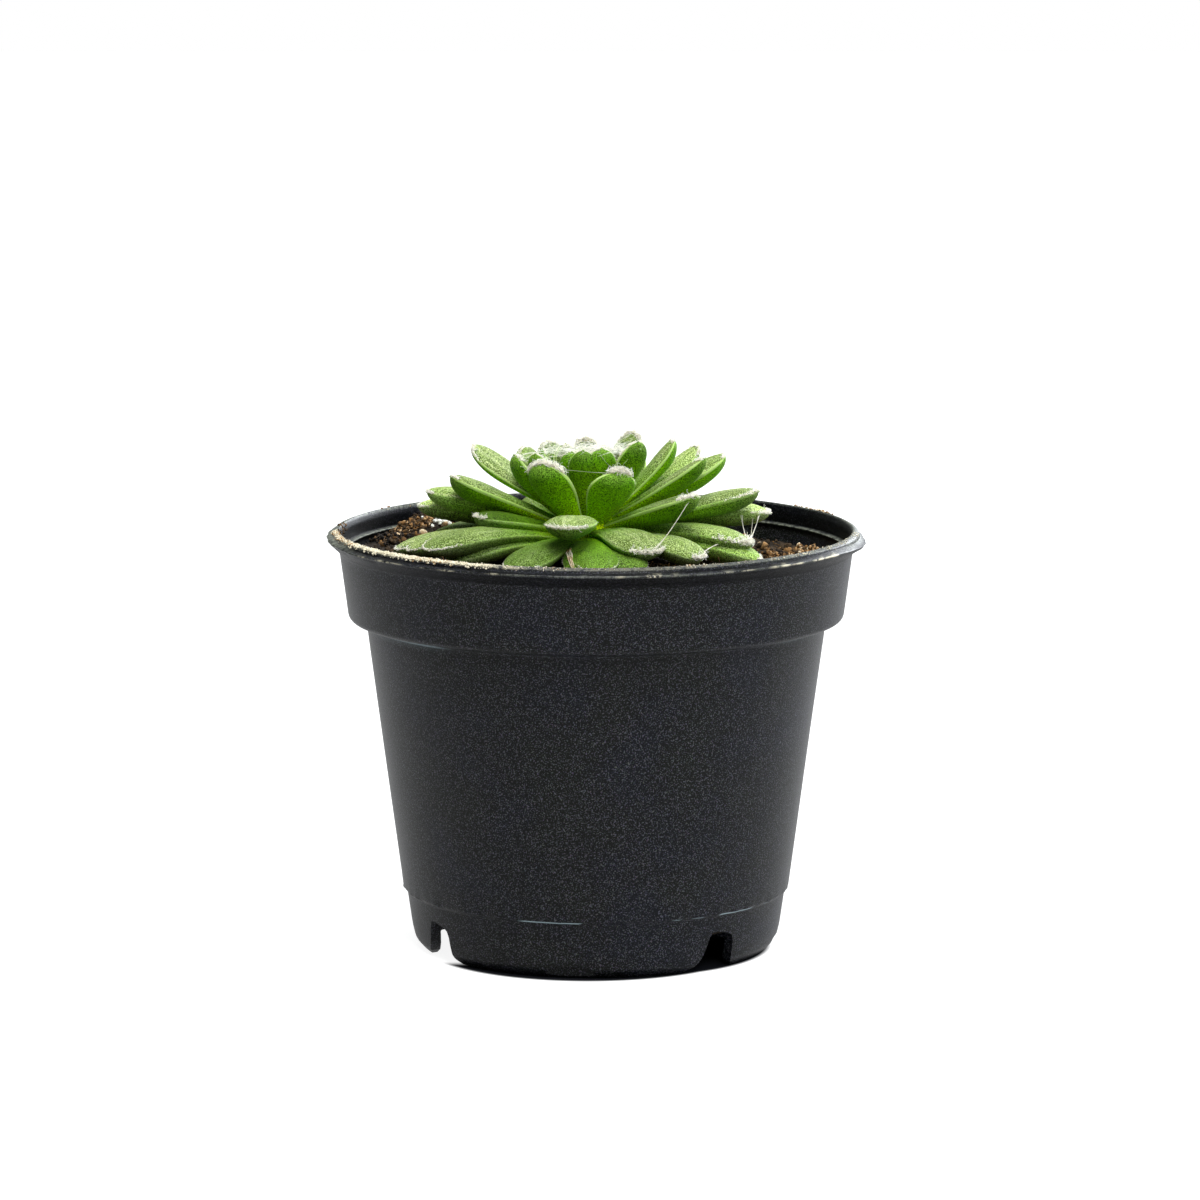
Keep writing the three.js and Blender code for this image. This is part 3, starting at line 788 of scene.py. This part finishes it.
def peatFibres(rng):
    count, steps = soil["fibres"], soil["fibreSteps"]
    azimuth = rng.uniform(0, 2 * math.pi, count)
    radius = 45 * np.sqrt(rng.uniform(0.3, 1, count))
    start = soilTop(*around(radius, azimuth), 0, 0.25)
    heading = unit(rng.normal(size=(count, 3)) * [1, 1, 0.25])
    bend = rng.normal(size=(count, 3)) * 0.5
    along = np.linspace(0, 1, steps)[None, :, None]
    length = rng.uniform(1.5, 4.5, (count, 1, 1))
    paths = start[:, None] + length * (along * heading[:, None] + along ** 2 * bend[:, None])
    paths[..., 2] = np.maximum(paths[..., 2], soilHeight(paths[..., 0], paths[..., 1]) + 0.1)
    reach = np.hypot(paths[..., 0], paths[..., 1])
    paths[..., :2] *= np.minimum(1, 46.8 / np.maximum(reach, 1e-6))[..., None]  # clear of the wall
    return evenlyToned(tubes(paths, np.full((count, steps), soil["fibreRadius"]), rng), soil["fibreTone"])


def makeSoil(material, perliteSkin):
    rng = np.random.default_rng(soil["seed"])
    ground = soilGround()
    makePiece("peat_crumbs", crumbField(rng), material)
    parts = [ground] + [crumbHeap(rng, *heap) for heap in heaps] + [barkFlakes(rng), peatFibres(rng)]
    piece = makePiece("peat_mix", joined(parts), material)
    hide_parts("potting_soil")
    x, y, size = np.array(perlite).T
    centres = soilTop(x, y, 0.35, size)
    centres[:soil["onCrumbs"], 2] += soil["crumbDepth"]
    points, faces, _ = lumps(centres, size, [1, 0.85, 0.75], rng, level=3, rough=0.2)
    makePiece("perlite_grains", (points, faces, {}), perliteSkin)


def lipTop(radius, azimuth):  # height of the lip's upper side
    rim, crest, tip = pot["rimDiameter"] / 2, pot["height"], pot["height"] - pot["tipDrop"]
    places = [rim - 3.2, rim - 2.8, rim - 2.55, rim - 1.45, rim - 1.3, rim - 0.2]
    heights = [crest - 1.4, crest - 0.45, crest, crest - 0.4, crest - 0.9, tip + 0.1]
    return np.interp(radius, places, heights) + rimLift(*around(radius, azimuth))


def makeRimCrumbs(material):  # soil stuck on the rim, and the dried mineral crust along the lip
    rng = np.random.default_rng(soil["rimSeed"])
    rim = pot["rimDiameter"] / 2
    parts = []
    for low, high, inward, spread, many, big, shade in rimGroups:
        azimuth = rng.uniform(low, high, many) * degree
        gaps = np.sin(37 * azimuth) + np.sin(91 * azimuth + 1) + np.sin(171 * azimuth + 2)
        radius = rim - inward + spread * (rng.normal(0, 0.8, many) + 0.3 * gaps)
        radius = np.minimum(radius, rim - 1.35)
        size = big * rng.uniform(0.5, 1.7, many) * (0.75 + 0.15 * gaps)
        centres = np.stack([*around(radius, azimuth), lipTop(radius, azimuth) + 0.2 * size], -1)
        grains = lumps(centres, size, rng.uniform(0.8, 1.5, (many, 3)), rng, level=1, rough=0.25)
        parts.append(toned(grains, shade + 0.22 * rng.uniform(-1, 1, many)))
    makePiece("rim_crumbs", joined(parts), material)


peat = soilMaterial()
makeSoil(peat, perliteMaterial())
makeRimCrumbs(peat)
print("soil made")


# Rosette

plant = {
    "crown": (-1.4, 0, 78.4), "oldLeaves": 4, "leafCount": 60, "goldenAngle": 137.508, "firstAzimuth": 160,
    "stemRadius": 3.6, "coreBottom": 76.9,
    "elevation": [(0, -4), (0.3, 5), (0.46, 28), (0.68, 48), (1, 82)],
    "length": [(0, 34), (0.33, 34), (0.5, 27), (0.72, 23), (0.8, 21), (1, 18)],
    "width": [(0, 9), (0.2, 8.6), (0.3, 9.4), (0.5, 9.8), (0.58, 9.4), (0.64, 7), (0.7, 7.4), (1, 4.5)],
    "thickness": [(0, 4.8), (0.3, 4.8), (0.5, 4.6), (0.6, 3.7), (0.75, 2.9), (1, 1.8)],
    "bow": [(0, 0.12), (0.27, 0.12), (0.36, 0.03), (0.5, 0.0), (0.65, -0.03), (1, -0.06)],
    "rootRadius": [(0, 4.5), (0.5, 4.2), (0.8, 2.4), (1, 0.8)],
    "rootHeight": [(0, -0.2), (0.25, 1.6), (0.45, 3.6), (1, 8)],
    "curl": [(0, -0.5), (0.3, -0.3), (0.45, 0.2), (0.7, 0.4), (1, 0.8)],  # mm that the tip bends up
    "widestAt": 0.75, "tipRest": 0.45, "rings": 36, "sides": 30,
}

# How single leaves stray from the spiral: turn and lift in degrees, stretch in mm, and for some
# how much more they arch as a share of their length, and how much wider they are in mm
strays = {
    -4: (-24, -2, -1, 0, 2), -1: (-6, -2, -4), 1: (-8, 5, 3), 2: (-3, 1, 1), 4: (5, 0, -4, 0, -3),
    5: (14, 1, 0), 6: (-9, 12, 1), 7: (-1, 2, -2), 9: (-10, 3.2, 5, -0.01, 2), 10: (3, 8, 2, 0, 1.5),
    11: (-15, 1, 0), 12: (-7, -3, -1, -0.06), 14: (-5, -3, 4, -0.04), 15: (9, -1, -1), 17: (-2, -6, 0, -0.05),
    19: (15, 10, -1), 20: (-5, -7, -6, 0.06, 1.5), 22: (-5, 0, -6.5), 23: (3, 0, 3), 24: (-22, -8, -4),
    25: (-7, -9.5, -1, 0.09), 27: (12, -1, 2), 28: (2, -6, 0), 30: (0, 15, -4), 31: (-5, -2, 5),
    32: (2, 15, -3), 33: (2, 8, -4), 35: (-5, 9, -2), 36: (5, -5, 4), 37: (12, 12, -2),
    38: (8, 19, -3, 0, -1.2), 39: (-24, 3, 2), 40: (-20, -14, 7.5, 0, 2), 41: (4, 6, 2),
    42: (-16, 12, -3), 44: (30, -21, 8), 45: (11, 16, -2), 46: (11, 6, 0), 47: (5, -11, 5), 50: (-11, 2, 1),
}

# How much grey down the upper side wears, 0 bare to 1 covered
plainDown = 0.65
down = {
    -4: 0.4, -1: 0.1, 4: 0, 12: 0.05, 17: 0.25, 22: 0.0, 20: 0.8, 15: 0.8, 7: 0.8, 2: 0.4, 28: 0.5, 25: 0.9,
    23: 0.9, 10: 1.0, 9: 0.7, 14: 1.0, 1: 1.0, 40: 1.0, 44: 1.0, 36: 0.9, 31: 0.8, 27: 0.7, 19: 0.8, 6: 1.0}

# How light single leaves are beside the others: partly their own tone, partly painted light and shade that
# lifts leaves lying in shade and darkens some others
shades = {
    38: 0.66, 41: 0.7, 22: 0.7, 10: 1.6, 2: 1.8, 6: 1.8, 44: 1.35, 31: 1.15, 20: 0.88, 23: 0.84, 40: 0.86,
    17: 0.85, 39: 1.1, 12: 1.25, 36: 0.85, 27: 0.84, 19: 1.35, 9: 0.84, 15: 1.2, 28: 0.8}


def leafPlan(number):
    along = number / (plant["leafCount"] - 1)
    chance = (8 * draw(number, 1) - 4, 5 * draw(number, 2) - 2.5, 0)
    turn, lift, stretch, arch, widen = (*strays.get(number, chance), 0, 0)[:5]
    azimuth = plant["firstAzimuth"] + plant["goldenAngle"] * number + turn
    elevation = (between(plant["elevation"], along) + lift) * degree
    length = between(plant["length"], along) + stretch
    thickness = between(plant["thickness"], along)
    away, crown = outward(azimuth), np.array(plant["crown"], float)
    base = crown + away * between(plant["rootRadius"], along)
    base[2] += between(plant["rootHeight"], along)
    tip = crown + away * length * math.cos(elevation)
    tip[2] += length * math.sin(elevation)
    tip[2] = max(tip[2], float(soilHeight(tip[0], tip[1])) + plant["tipRest"] * thickness)
    side = np.cross(away, [0, 0, 1])
    chord = tip - base
    up = unit(np.cross(side, chord))
    middle = base + 0.5 * chord + up * (between(plant["bow"], along) + arch) * length
    return {
        "number": number, "age": along, "length": length, "width": between(plant["width"], along) + widen,
        "thickness": thickness, "base": base, "middle": middle, "tip": tip, "side": side,
        "curl": between(plant["curl"], along) * (0.7 + 0.6 * draw(number, 21)),
        "sway": 0.5 * (draw(number, 22) - 0.5), "tone": draw(number, 23),
        "down": down.get(number, plainDown), "shade": shades.get(number, 1.0),
    }


def leafOutline(t):  # width along a leaf: a narrow base, widest at three quarters, a round end
    widest = plant["widestAt"]
    low = 0.5 + 0.5 * np.sin(math.pi / 2 * np.clip(t / widest, 0, 1)) ** 2
    high = np.maximum(0, 1 - (np.clip(t - widest, 0, 1) / (1 - widest)) ** 2) ** 0.5
    return np.where(t < widest, low, high)


def leafSpine(leaf, t):
    t = np.asarray(t, float)[..., None]
    base, middle, tip = leaf["base"], leaf["middle"], leaf["tip"]
    at = (1 - t) ** 2 * base + 2 * t * (1 - t) * middle + t * t * tip
    ahead = unit(2 * (1 - t) * (middle - base) + 2 * t * (tip - middle))
    up = unit(np.cross(leaf["side"], ahead))
    bend = np.clip((t - 0.7) / 0.3, 0, 1)
    at = at + up * bend ** 2 * leaf["curl"] + leaf["side"] * leaf["sway"] * np.sin(math.pi * t)
    ahead = unit(ahead + up * 2 * bend * leaf["curl"] / (0.3 * leaf["length"]))
    return at, ahead, unit(np.cross(leaf["side"], ahead))


def leafPoint(leaf, t, across, level):  # across -1 to 1, level 1 on the upper skin and -1 on the lower
    at, ahead, up = leafSpine(leaf, t)
    share = leafOutline(np.asarray(t, float))
    x = np.asarray(across, float)
    above = 0.35 * (1 - x ** 2) ** 0.7 - 0.05 * np.exp(-(x / 0.35) ** 2)
    keel = 0.05 * np.exp(-(x / 0.22) ** 2)
    below = 0.62 * (1 - x ** 2) ** 0.62 + keel
    bulge = np.where(np.asarray(level) > 0, above * level, below * level) * leaf["thickness"] * share
    skin = at + leaf["side"] * (x * share * leaf["width"] / 2)[..., None] + up * bulge[..., None]
    return skin, ahead, up


def leafMesh(leaf):
    rings, sides = plant["rings"], plant["sides"]
    t = (1 - np.cos(math.pi * np.arange(1, rings) / rings)) / 2
    turn = 2 * math.pi * np.arange(sides) / sides
    grid = np.repeat(t[:, None], sides, 1)
    across, upper = [np.repeat(wave[None], len(t), 0) for wave in (np.cos(turn), np.sin(turn))]
    level = np.where(upper >= -1e-9, 1.0, -1.0)
    points, _, up = leafPoint(leaf, grid, across, level)
    seed = 10 * leaf["number"]
    ripple = 0.07 * np.sin(9 * grid + 3 * across + seed)
    ripple = ripple + 0.04 * np.sin(23 * grid - 5 * across * level + 2 * seed)
    edge = np.clip(1 - np.abs(across), 0, 1) ** 0.5
    points = points + up * (ripple * level * edge * leafOutline(grid))[..., None]
    start, end = leafSpine(leaf, np.array([0.0])), leafSpine(leaf, np.array([1.0]))
    points = np.concatenate([points.reshape(-1, 3), start[0], end[0] + 0.35 * end[1]])
    marks = {
        "leafAlong": np.concatenate([grid.ravel(), [0, 1]]),
        "leafAcross": np.concatenate([across.ravel(), [0, 0]]),
        "leafUpper": np.concatenate([upper.ravel(), [0, 0]]),
    }
    for name in ("age", "tone", "down", "shade"):
        marks["leaf" + name.capitalize()] = np.full(len(points), leaf[name])
    return points, [f[:, ::-1] for f in closedRings(rings - 1, sides)], marks


def leafMaterial():
    # Succulent leaf, grown: a waxy skin over wet flesh, so light sinks in; the yellow-green glow near the base
    # is partly painted light, with a grey down of gland hairs on the upper side and a pale line of hairs along
    # the edge
    material, tree, output = newMaterial("downySucculentLeaf")
    along, across, upper, age, tone, down, shade = [marked(tree, "leaf" + name) for name in (
        "Along", "Across", "Upper", "Age", "Tone", "Down", "Shade")]
    # all three ramps are brightest towards the base: partly the base's own paler yellow-green, partly painted
    # light lifting the bases out of the shade between them
    outer = ramped(tree, along, [
        (0.0, "#c8ec00"), (0.32, "#aad800"), (0.6, "#76ac02"), (0.88, "#4e8006"), (1.0, "#60822c")])
    # older leaves' lower faces, painted lighter where they lie in shade
    oldWithPaintedFill = ramped(tree, along, [(0.0, "#a8d010"), (0.35, "#789e24"), (0.8, "#6c8c3c"), (1.0, "#8c9e68")])
    bare = ramped(tree, along, [(0.0, "#a4d400"), (0.35, "#527c08"), (0.8, "#3c5a0c"), (1.0, "#4c6820")])
    streakAt = addNode(tree, "ShaderNodeCombineXYZ", links={0: along, 1: across, 2: tone})
    streakPlace = addNode(tree, "ShaderNodeMapping", links={
        0: streakAt.outputs[0], "Scale": (3.0, 7.0, 40.0)})
    streaks = addNode(tree, "ShaderNodeTexNoise", links={  # lengthwise, of matted down, about 1 mm apart
        "Vector": streakPlace.outputs[0], "Scale": 1.0, "Detail": 4.0, "Roughness": 0.65}).outputs["Fac"]
    downy = ramped(tree, streaks, [(0.3, "#546828"), (0.5, "#728644"), (0.7, "#a0aa78")])
    young = mapped(tree, age, 0.2, 0.45)
    isUpper = mapped(tree, upper, 0.02, 0.35, eased=True)
    downShare = calculate(tree, "MAXIMUM", isUpper, mapped(tree, young, 0.0, 1.0, 0.45, 0.0))
    farOut = mapped(tree, along, 0.25, 0.75, 0.15, 0.95, eased=True)
    downShare = calculate(tree, "MULTIPLY", calculate(tree, "MULTIPLY", downShare, farOut), down)
    colour = mixed(tree, isUpper, mixed(tree, young, oldWithPaintedFill, outer), bare)
    colour = mixed(tree, downShare, colour, downy)
    grain = speckled(tree, placed(tree), 0.22, 1.0, 0.6)["Fac"]  # gland hairs
    # each leaf's lightness, partly its own tone and partly painted light and shade
    light = calculate(tree, "MULTIPLY", mapped(tree, grain, 0.36, 0.64, 0.22, 1.8), shade)
    hairShare = calculate(tree, "MULTIPLY", mapped(tree, grain, 0.54, 0.66, 0.0, 0.4), downShare)
    colour = mixed(tree, hairShare, scaled(tree, colour, light), linear("#d3dcae"))
    fromMidrib = calculate(tree, "ABSOLUTE", across)
    hairy = mapped(tree, age, 0.35, 0.5, 0.2, 0.8)
    atEdge = mapped(tree, fromMidrib, 0.955, 0.985, 0.0, hairy, eased=True)
    return finished(material, output, {
        "Base Color": mixed(tree, atEdge, colour, linear("#a9c472")),
        "Roughness": 0.7, "IOR": 1.42, "Specular IOR Level": 0.08,
        "Subsurface Weight": 0.25, "Subsurface Radius": (0.9, 1.3, 0.2), "Subsurface Scale": 1.0 * mm,
        "Sheen Weight": 0.05, "Sheen Roughness": 0.4, "Sheen Tint": linear("#d6e8a8"),
        "Normal": bumped(tree, grain, 0.4, 0.08)})


def coreMesh():  # the body that the leaves grow from, hidden between their bases
    stem, low = plant["stemRadius"], plant["coreBottom"]
    points, faces = turnedMesh(np.array([
        (0, low), (stem + 0.8, low), (stem + 3, low + 2.5), (stem + 2.4, low + 6), (stem, low + 11),
        (0, low + 13)]), 40)
    points[:, :2] += plant["crown"][:2]
    values = {"Along": 0, "Across": 0, "Upper": -1, "Age": 1, "Tone": 0, "Down": 0, "Shade": 1}
    return points, faces, {"leaf" + name: np.full(len(points), float(v)) for name, v in values.items()}


plans = [leafPlan(number) for number in range(-plant["oldLeaves"], plant["leafCount"])]
leaves = {leaf["number"]: leaf for leaf in plans}
shape = joined([leafMesh(leaf) for leaf in plans] + [coreMesh()])
rosette = makePiece("rosette_leaves", shape, leafMaterial())
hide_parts("rosette")
print("leaves made")


# Wool

wool = {
    "strandSteps": 8, "thickness": 0.042,  # mm radius, drawn at twice the real hair to show
    "feltSize": 0.17, "feltGap": 0.09,
    "ciliaGap": 0.3, "ciliaRadius": 0.022, "ciliaTone": 0.4,
    "webThreads": 300, "webSteps": 10, "webTone": 0.7,
    "webFrom": 34, "webReach": 12,  # the web joins the tips from this leaf on, up to so many mm apart
    "nearFrom": 36, "nearReach": 8,  # and before this leaf, only up to so many
    "scrapLeaf": 4, "scrapSteps": 8, "scrapRadius": 0.16, "seed": 37, "scrapSeed": 41,
}

bareTips = (-4, -1, 4)  # leaves whose wool is worn off

# Tufts: middle and half width as shares of the leaf's half width, depth back from the tip in mm, puff in mm,
# and how many strands
plainTuft = (0, 0.6, 0.9, 0.2, 42)
tufts = {
    30: (0.05, 0.85, 1.6, 0.62, 312), 33: (-0.25, 0.45, 1.4, 0.65, 252), 25: (0, 0.85, 0.7, 0.26, 156),
    28: (0.2, 0.5, 1.6, 0.31, 108), 20: (-0.1, 0.75, 1.4, 0.34, 192), 15: (0.2, 0.8, 2.4, 0.43, 198),
    10: (0.3, 0.6, 1.2, 0.28, 90), 23: (0.3, 0.7, 2, 0.26, 72), 7: (-0.1, 0.45, 1.2, 0.34, 102),
    22: (0, 0.5, 0.9, 0.26, 90), 36: (-0.3, 0.7, 2.6, 0.31, 144), 44: (0, 0.8, 1.4, 0.28, 90),
    31: (0, 0.5, 1, 0.24, 42), 40: (-0.55, 0.4, 1.2, 0.28, 78), 39: (0, 0.4, 1, 0.28, 54),
    27: (0, 0.5, 1.2, 0.22, 66), 19: (0, 0.6, 0.8, 0.24, 48), 6: (0, 0.8, 0.8, 0.2, 60),
    9: (0, 0.9, 0.6, 0.19, 66), 1: (0, 0.9, 0.6, 0.19, 60), 14: (0, 0.9, 0.6, 0.19, 60),
    17: (0, 0.8, 0.5, 0.12, 24), 12: (0, 0.8, 0.5, 0.12, 24), 2: (-0.2, 0.5, 1, 0.22, 60),
    35: (0, 0.6, 2, 0.28, 84), 32: (0, 0.6, 1.2, 0.22, 54), 38: (0, 0.3, 0.4, 0.15, 18),
    41: (0.2, 0.7, 1.2, 0.25, 72), 37: (0, 0.9, 2, 0.31, 108), 50: (0, 0.95, 2.2, 0.37, 120),
    47: (0, 0.95, 2.2, 0.37, 132), 42: (0, 0.8, 1.4, 0.31, 72),
}


def woolMaterial():
    # Cobweb wool, dead plant hairs: dry, near white and cream with dust, matted so loosely that light
    # spreads in it and its edges look soft
    material, tree, output = newMaterial("cobwebWool")
    colour = ramped(tree, marked(tree, "tone"), [
        (0.0, "#9c8c60"), (0.3, "#d8cfa8"), (0.6, "#ece6cc"), (1.0, "#f8f6e6")])
    return finished(material, output, {
        "Base Color": colour, "Roughness": 0.8, "IOR": 1.5, "Specular IOR Level": 0.2,
        "Subsurface Weight": 0.7, "Subsurface Radius": (1.0, 1.0, 0.9), "Subsurface Scale": 0.8 * mm,
        "Emission Color": colour, "Emission Strength": 0.02})  # a faint painted glow, in place of the light that finer hairs would scatter


def marginAt(share):  # how far along a leaf its edge lies at that share of the full half width
    return plant["widestAt"] + (1 - plant["widestAt"]) * np.sqrt(1 - np.clip(np.abs(share), 0, 1) ** 2)


def acrossAt(share, t):  # that share of the full half width, as a share of the half width there
    return np.clip(share / np.maximum(leafOutline(t), 0.05), -1, 1)


def tuftCurls(leaf, rng):  # matted hair along the leaf's end: short curls that stay near the tip
    middle, spread, depth, puff, count = tufts.get(leaf["number"], plainTuft)
    steps = wool["strandSteps"]
    share = np.clip(middle + spread * rng.uniform(-1, 1, count), -0.99, 0.99)
    t = marginAt(share) - np.abs(rng.normal(0, 0.4, count)) * depth / leaf["length"]
    t = np.clip(t, 0.6, 1)
    level = np.where(rng.uniform(size=count) < 0.85, 0.9, 0.0)
    start, ahead, up = leafPoint(leaf, t, acrossAt(share, t), level)
    alongEdge = leaf["side"] * np.sign(rng.normal(size=(count, 1)))
    heading = unit(alongEdge + 0.5 * ahead * rng.uniform(-0.3, 1, (count, 1))
                   + up * rng.normal(0.3, 0.45, (count, 1)) + 0.25 * rng.normal(size=(count, 3)))
    home = start + puff * (ahead * rng.uniform(0.0, 0.8, (count, 1)) + up * rng.uniform(0, 0.8, (count, 1)))
    stray = rng.uniform(size=count) < 0.03
    length = puff * rng.uniform(2.5, 5.0, count) * np.where(stray, 1.2, 1)
    pull = np.where(stray, 0.1, 0.7)[:, None]
    path = [start]
    for _ in range(steps - 1):
        heading = unit(heading + 0.5 * rng.normal(size=(count, 3)) + pull * (home - path[-1]) / puff)
        path.append(path[-1] + heading * (length / (steps - 1))[:, None])
    radii = wool["thickness"] * rng.uniform(0.7, 1.5, (count, 1)) * np.linspace(1.1, 0.6, steps)[None]
    strands = tubes(np.stack(path, 1), radii, rng)
    return toned((*strands, steps * 3), rng.uniform(0.5, 1, count))


def tuftFelt(leaf, rng):  # small lumps of felt under the curls
    middle, spread, depth, puff, _ = tufts.get(leaf["number"], plainTuft)
    pads = max(6, int(spread * leaf["width"] * (1 + 2 * puff) / wool["feltGap"]))
    share = np.clip(middle + spread * rng.uniform(-1, 1, pads), -0.99, 0.99)
    t = marginAt(share) - rng.uniform(0, 0.5, pads) * depth / leaf["length"]
    centres, ahead, up = leafPoint(leaf, t, acrossAt(share, t), np.full(pads, 0.8))
    rise = up * 0.6 * rng.uniform(0, 1, (pads, 1)) ** 1.5
    centres = centres + puff * (rise + ahead * 0.5 * rng.uniform(0, 1, (pads, 1)))
    sizes = wool["feltSize"] * (0.5 + 0.9 * puff) * rng.uniform(0.7, 1.3, pads)
    grains = lumps(centres, sizes, rng.uniform(0.7, 1.3, (pads, 3)), rng, level=1, rough=0.35)
    return toned(grains, rng.uniform(0.3, 1.0, pads))


def marginCilia(leaf, rng):
    count = 2 * int(leaf["length"] * 0.8 / wool["ciliaGap"])
    t = 1 - 0.8 * rng.uniform(0, 1, count) ** 1.15
    across = np.where(np.arange(count) % 2 == 0, 1.0, -1.0) * rng.uniform(0.985, 1, count)
    roots, ahead, _ = leafPoint(leaf, t, across, np.zeros(count))
    reach = (0.15 + 0.35 * t ** 2) * rng.uniform(0.4, 1.2, count)
    heading = unit(leaf["side"] * across[:, None] + 0.5 * ahead * rng.normal(0.6, 0.5, (count, 1))
                   + 0.35 * rng.normal(size=roots.shape))
    hairs = spikes(roots - 0.05 * heading, roots + heading * reach[:, None], wool["ciliaRadius"], rng)
    return evenlyToned(hairs, wool["ciliaTone"])


# Threads that stand out: leaf, share along, share across at each end; thickness and sag in mm, strands
threads = [
    ((30, 0.97, 0.7), (33, 0.98, -0.6), 0.03, 0.25, 2),
    ((28, 0.985, 0.5), (20, 0.99, -0.3), 0.045, 0.7, 7),
    ((41, 0.97, -0.6), (33, 0.99, 0.2), 0.02, 0.1, 1),
    ((46, 0.97, 0.4), (33, 0.99, 0.1), 0.02, 0.1, 1),
    ((38, 0.97, 0.7), (46, 0.9, -0.5), 0.03, 0.1, 1),
    ((41, 0.96, 0.3), (44, 0.8, -0.4), 0.025, 0.2, 1),
    ((10, 0.93, 0.6), (15, 0.98, 0.2), 0.06, 0.6, 7),
    ((10, 0.8, 0.7), (15, 0.97, 0.0), 0.05, 0.4, 4),
    ((10, 0.9, 0.2), (15, 0.99, 0.4), 0.05, 0.3, 3),
    ((15, 0.62, -0.7), (15, 0.72, -0.1), 0.08, -0.3, 5),
    ((7, 0.98, 0.0), (2, 0.75, -0.5), 0.08, -0.8, 6),
]


def threadPath(start, end, sag, steps, rng, wander):
    s = np.linspace(0, 1, steps)[:, None]
    path = start + (end - start) * s
    path[:, 2] -= sag * 4 * (s * (1 - s))[:, 0]
    drift = np.cumsum(rng.normal(0, wander, (steps, 3)), 0)
    return path + drift * (4 * s * (1 - s))


def threadEnd(number, along, across):
    return leafPoint(leaves[number], np.array([along]), np.array([across]), np.array([0.3]))[0][0]


def cobweb(rng):
    steps, paths, radii = wool["webSteps"], [], []
    s = np.linspace(-1, 1, steps)
    for start, end, thick, sag, strands in threads:
        for _ in range(strands):  # twisted together in the middle, fanned out at both ends
            fan = rng.normal(0, 0.3, (2, 3)) * min(1, strands / 3)
            path = threadPath(threadEnd(*start), threadEnd(*end), sag, steps, rng, 0.02)
            path += np.clip(-s, 0, 1)[:, None] ** 3 * fan[0] + np.clip(s, 0, 1)[:, None] ** 3 * fan[1]
            paths.append(path)
            radii.append(thick * rng.uniform(0.6, 1.1) * (0.8 + 0.5 * s ** 2))
    inner = [leaf for leaf in plans if leaf["number"] >= wool["webFrom"]]
    tips = np.array([leafSpine(leaf, np.array([0.97]))[0][0] for leaf in inner])
    made = 0
    while made < wool["webThreads"]:
        i, j = rng.integers(0, len(inner), 2)
        gap = np.linalg.norm(tips[i] - tips[j])
        reach = wool["nearReach"] if inner[i]["number"] < wool["nearFrom"] else wool["webReach"]
        if i == j or gap > reach:
            continue
        a, b = tips[i] + rng.normal(0, 0.8, 3), tips[j] + rng.normal(0, 0.8, 3)
        paths.append(threadPath(a, b, -0.06 * gap * rng.uniform(-1, 2), steps, rng, 0.12))
        radii.append(np.full(steps, rng.uniform(0.015, 0.032)))
        made += 1
    return evenlyToned(tubes(np.array(paths), np.array(radii), rng), wool["webTone"])


def makeScrap(material):  # a dried scrap, caught on the leaf at the front
    rng = np.random.default_rng(wool["scrapSeed"])
    steps = wool["scrapSteps"]
    along = np.linspace(0.68, 1, steps)
    strands = []
    for across, raised in ((0.62, 0.1), (0.5, 0.3), (0.42, 0.15), (0.7, 0.25)):
        shares = np.linspace(across + 0.12, across - 0.2, steps)
        path, _, up = leafPoint(leaves[wool["scrapLeaf"]], along, shares, np.ones(steps))
        strands.append(path + up * raised + rng.normal(0, 0.12, (steps, 3)))
    radii = np.repeat(wool["scrapRadius"] * np.sin(np.linspace(0.3, 2.9, steps))[None], len(strands), 0)
    points, faces = tubes(np.array(strands), radii, rng)
    tone = np.repeat(np.tile(rng.uniform(0.45, 0.85, steps), len(strands)), 3)
    makePiece("dried_scrap", (points, faces, {"tone": tone}), material)


def makeWool(material):
    rng = np.random.default_rng(wool["seed"])
    groups = {"wool_tufts_outer": (-9, 22), "wool_tufts_middle": (22, 40), "wool_tufts_crown": (40, 99)}
    for name, (first, end) in groups.items():
        woolly = [leaf for leaf in plans if first <= leaf["number"] < end and leaf["number"] not in bareTips]
        parts = [tuft(leaf, rng) for leaf in woolly for tuft in (tuftCurls, tuftFelt)]
        makePiece(name, joined(parts), material)
    makePiece("leaf_edge_hairs", joined([marginCilia(leaf, rng) for leaf in plans]), material)
    makePiece("cobweb_threads", cobweb(rng), material)


makeWool(woolMaterial())
makeScrap(peat)
print("wool made")


# Roots: the solid keeps its shape and takes a bark finish

def rootMaterial():
    # Root bark, grown: thin, corky and flaking, dull brown with pale cracks lengthwise
    material, tree, output = newMaterial("corkyRootBark")
    stretched = addNode(tree, "ShaderNodeMapping", links={0: placed(tree), "Scale": (1.0, 1.0, 0.25)})
    cracks = speckled(tree, stretched.outputs[0], 0.7, 4.0)["Fac"]
    return finished(material, output, {
        "Base Color": ramped(tree, cracks, [(0.35, "#4a3522"), (0.55, "#7a6144"), (0.7, "#a58a63")]),
        "Roughness": 0.85, "Normal": bumped(tree, cracks, 0.6, 0.2)})


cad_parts["roots"].material_slots[0].material = rootMaterial()
print("roots dressed")

print("all pieces made")
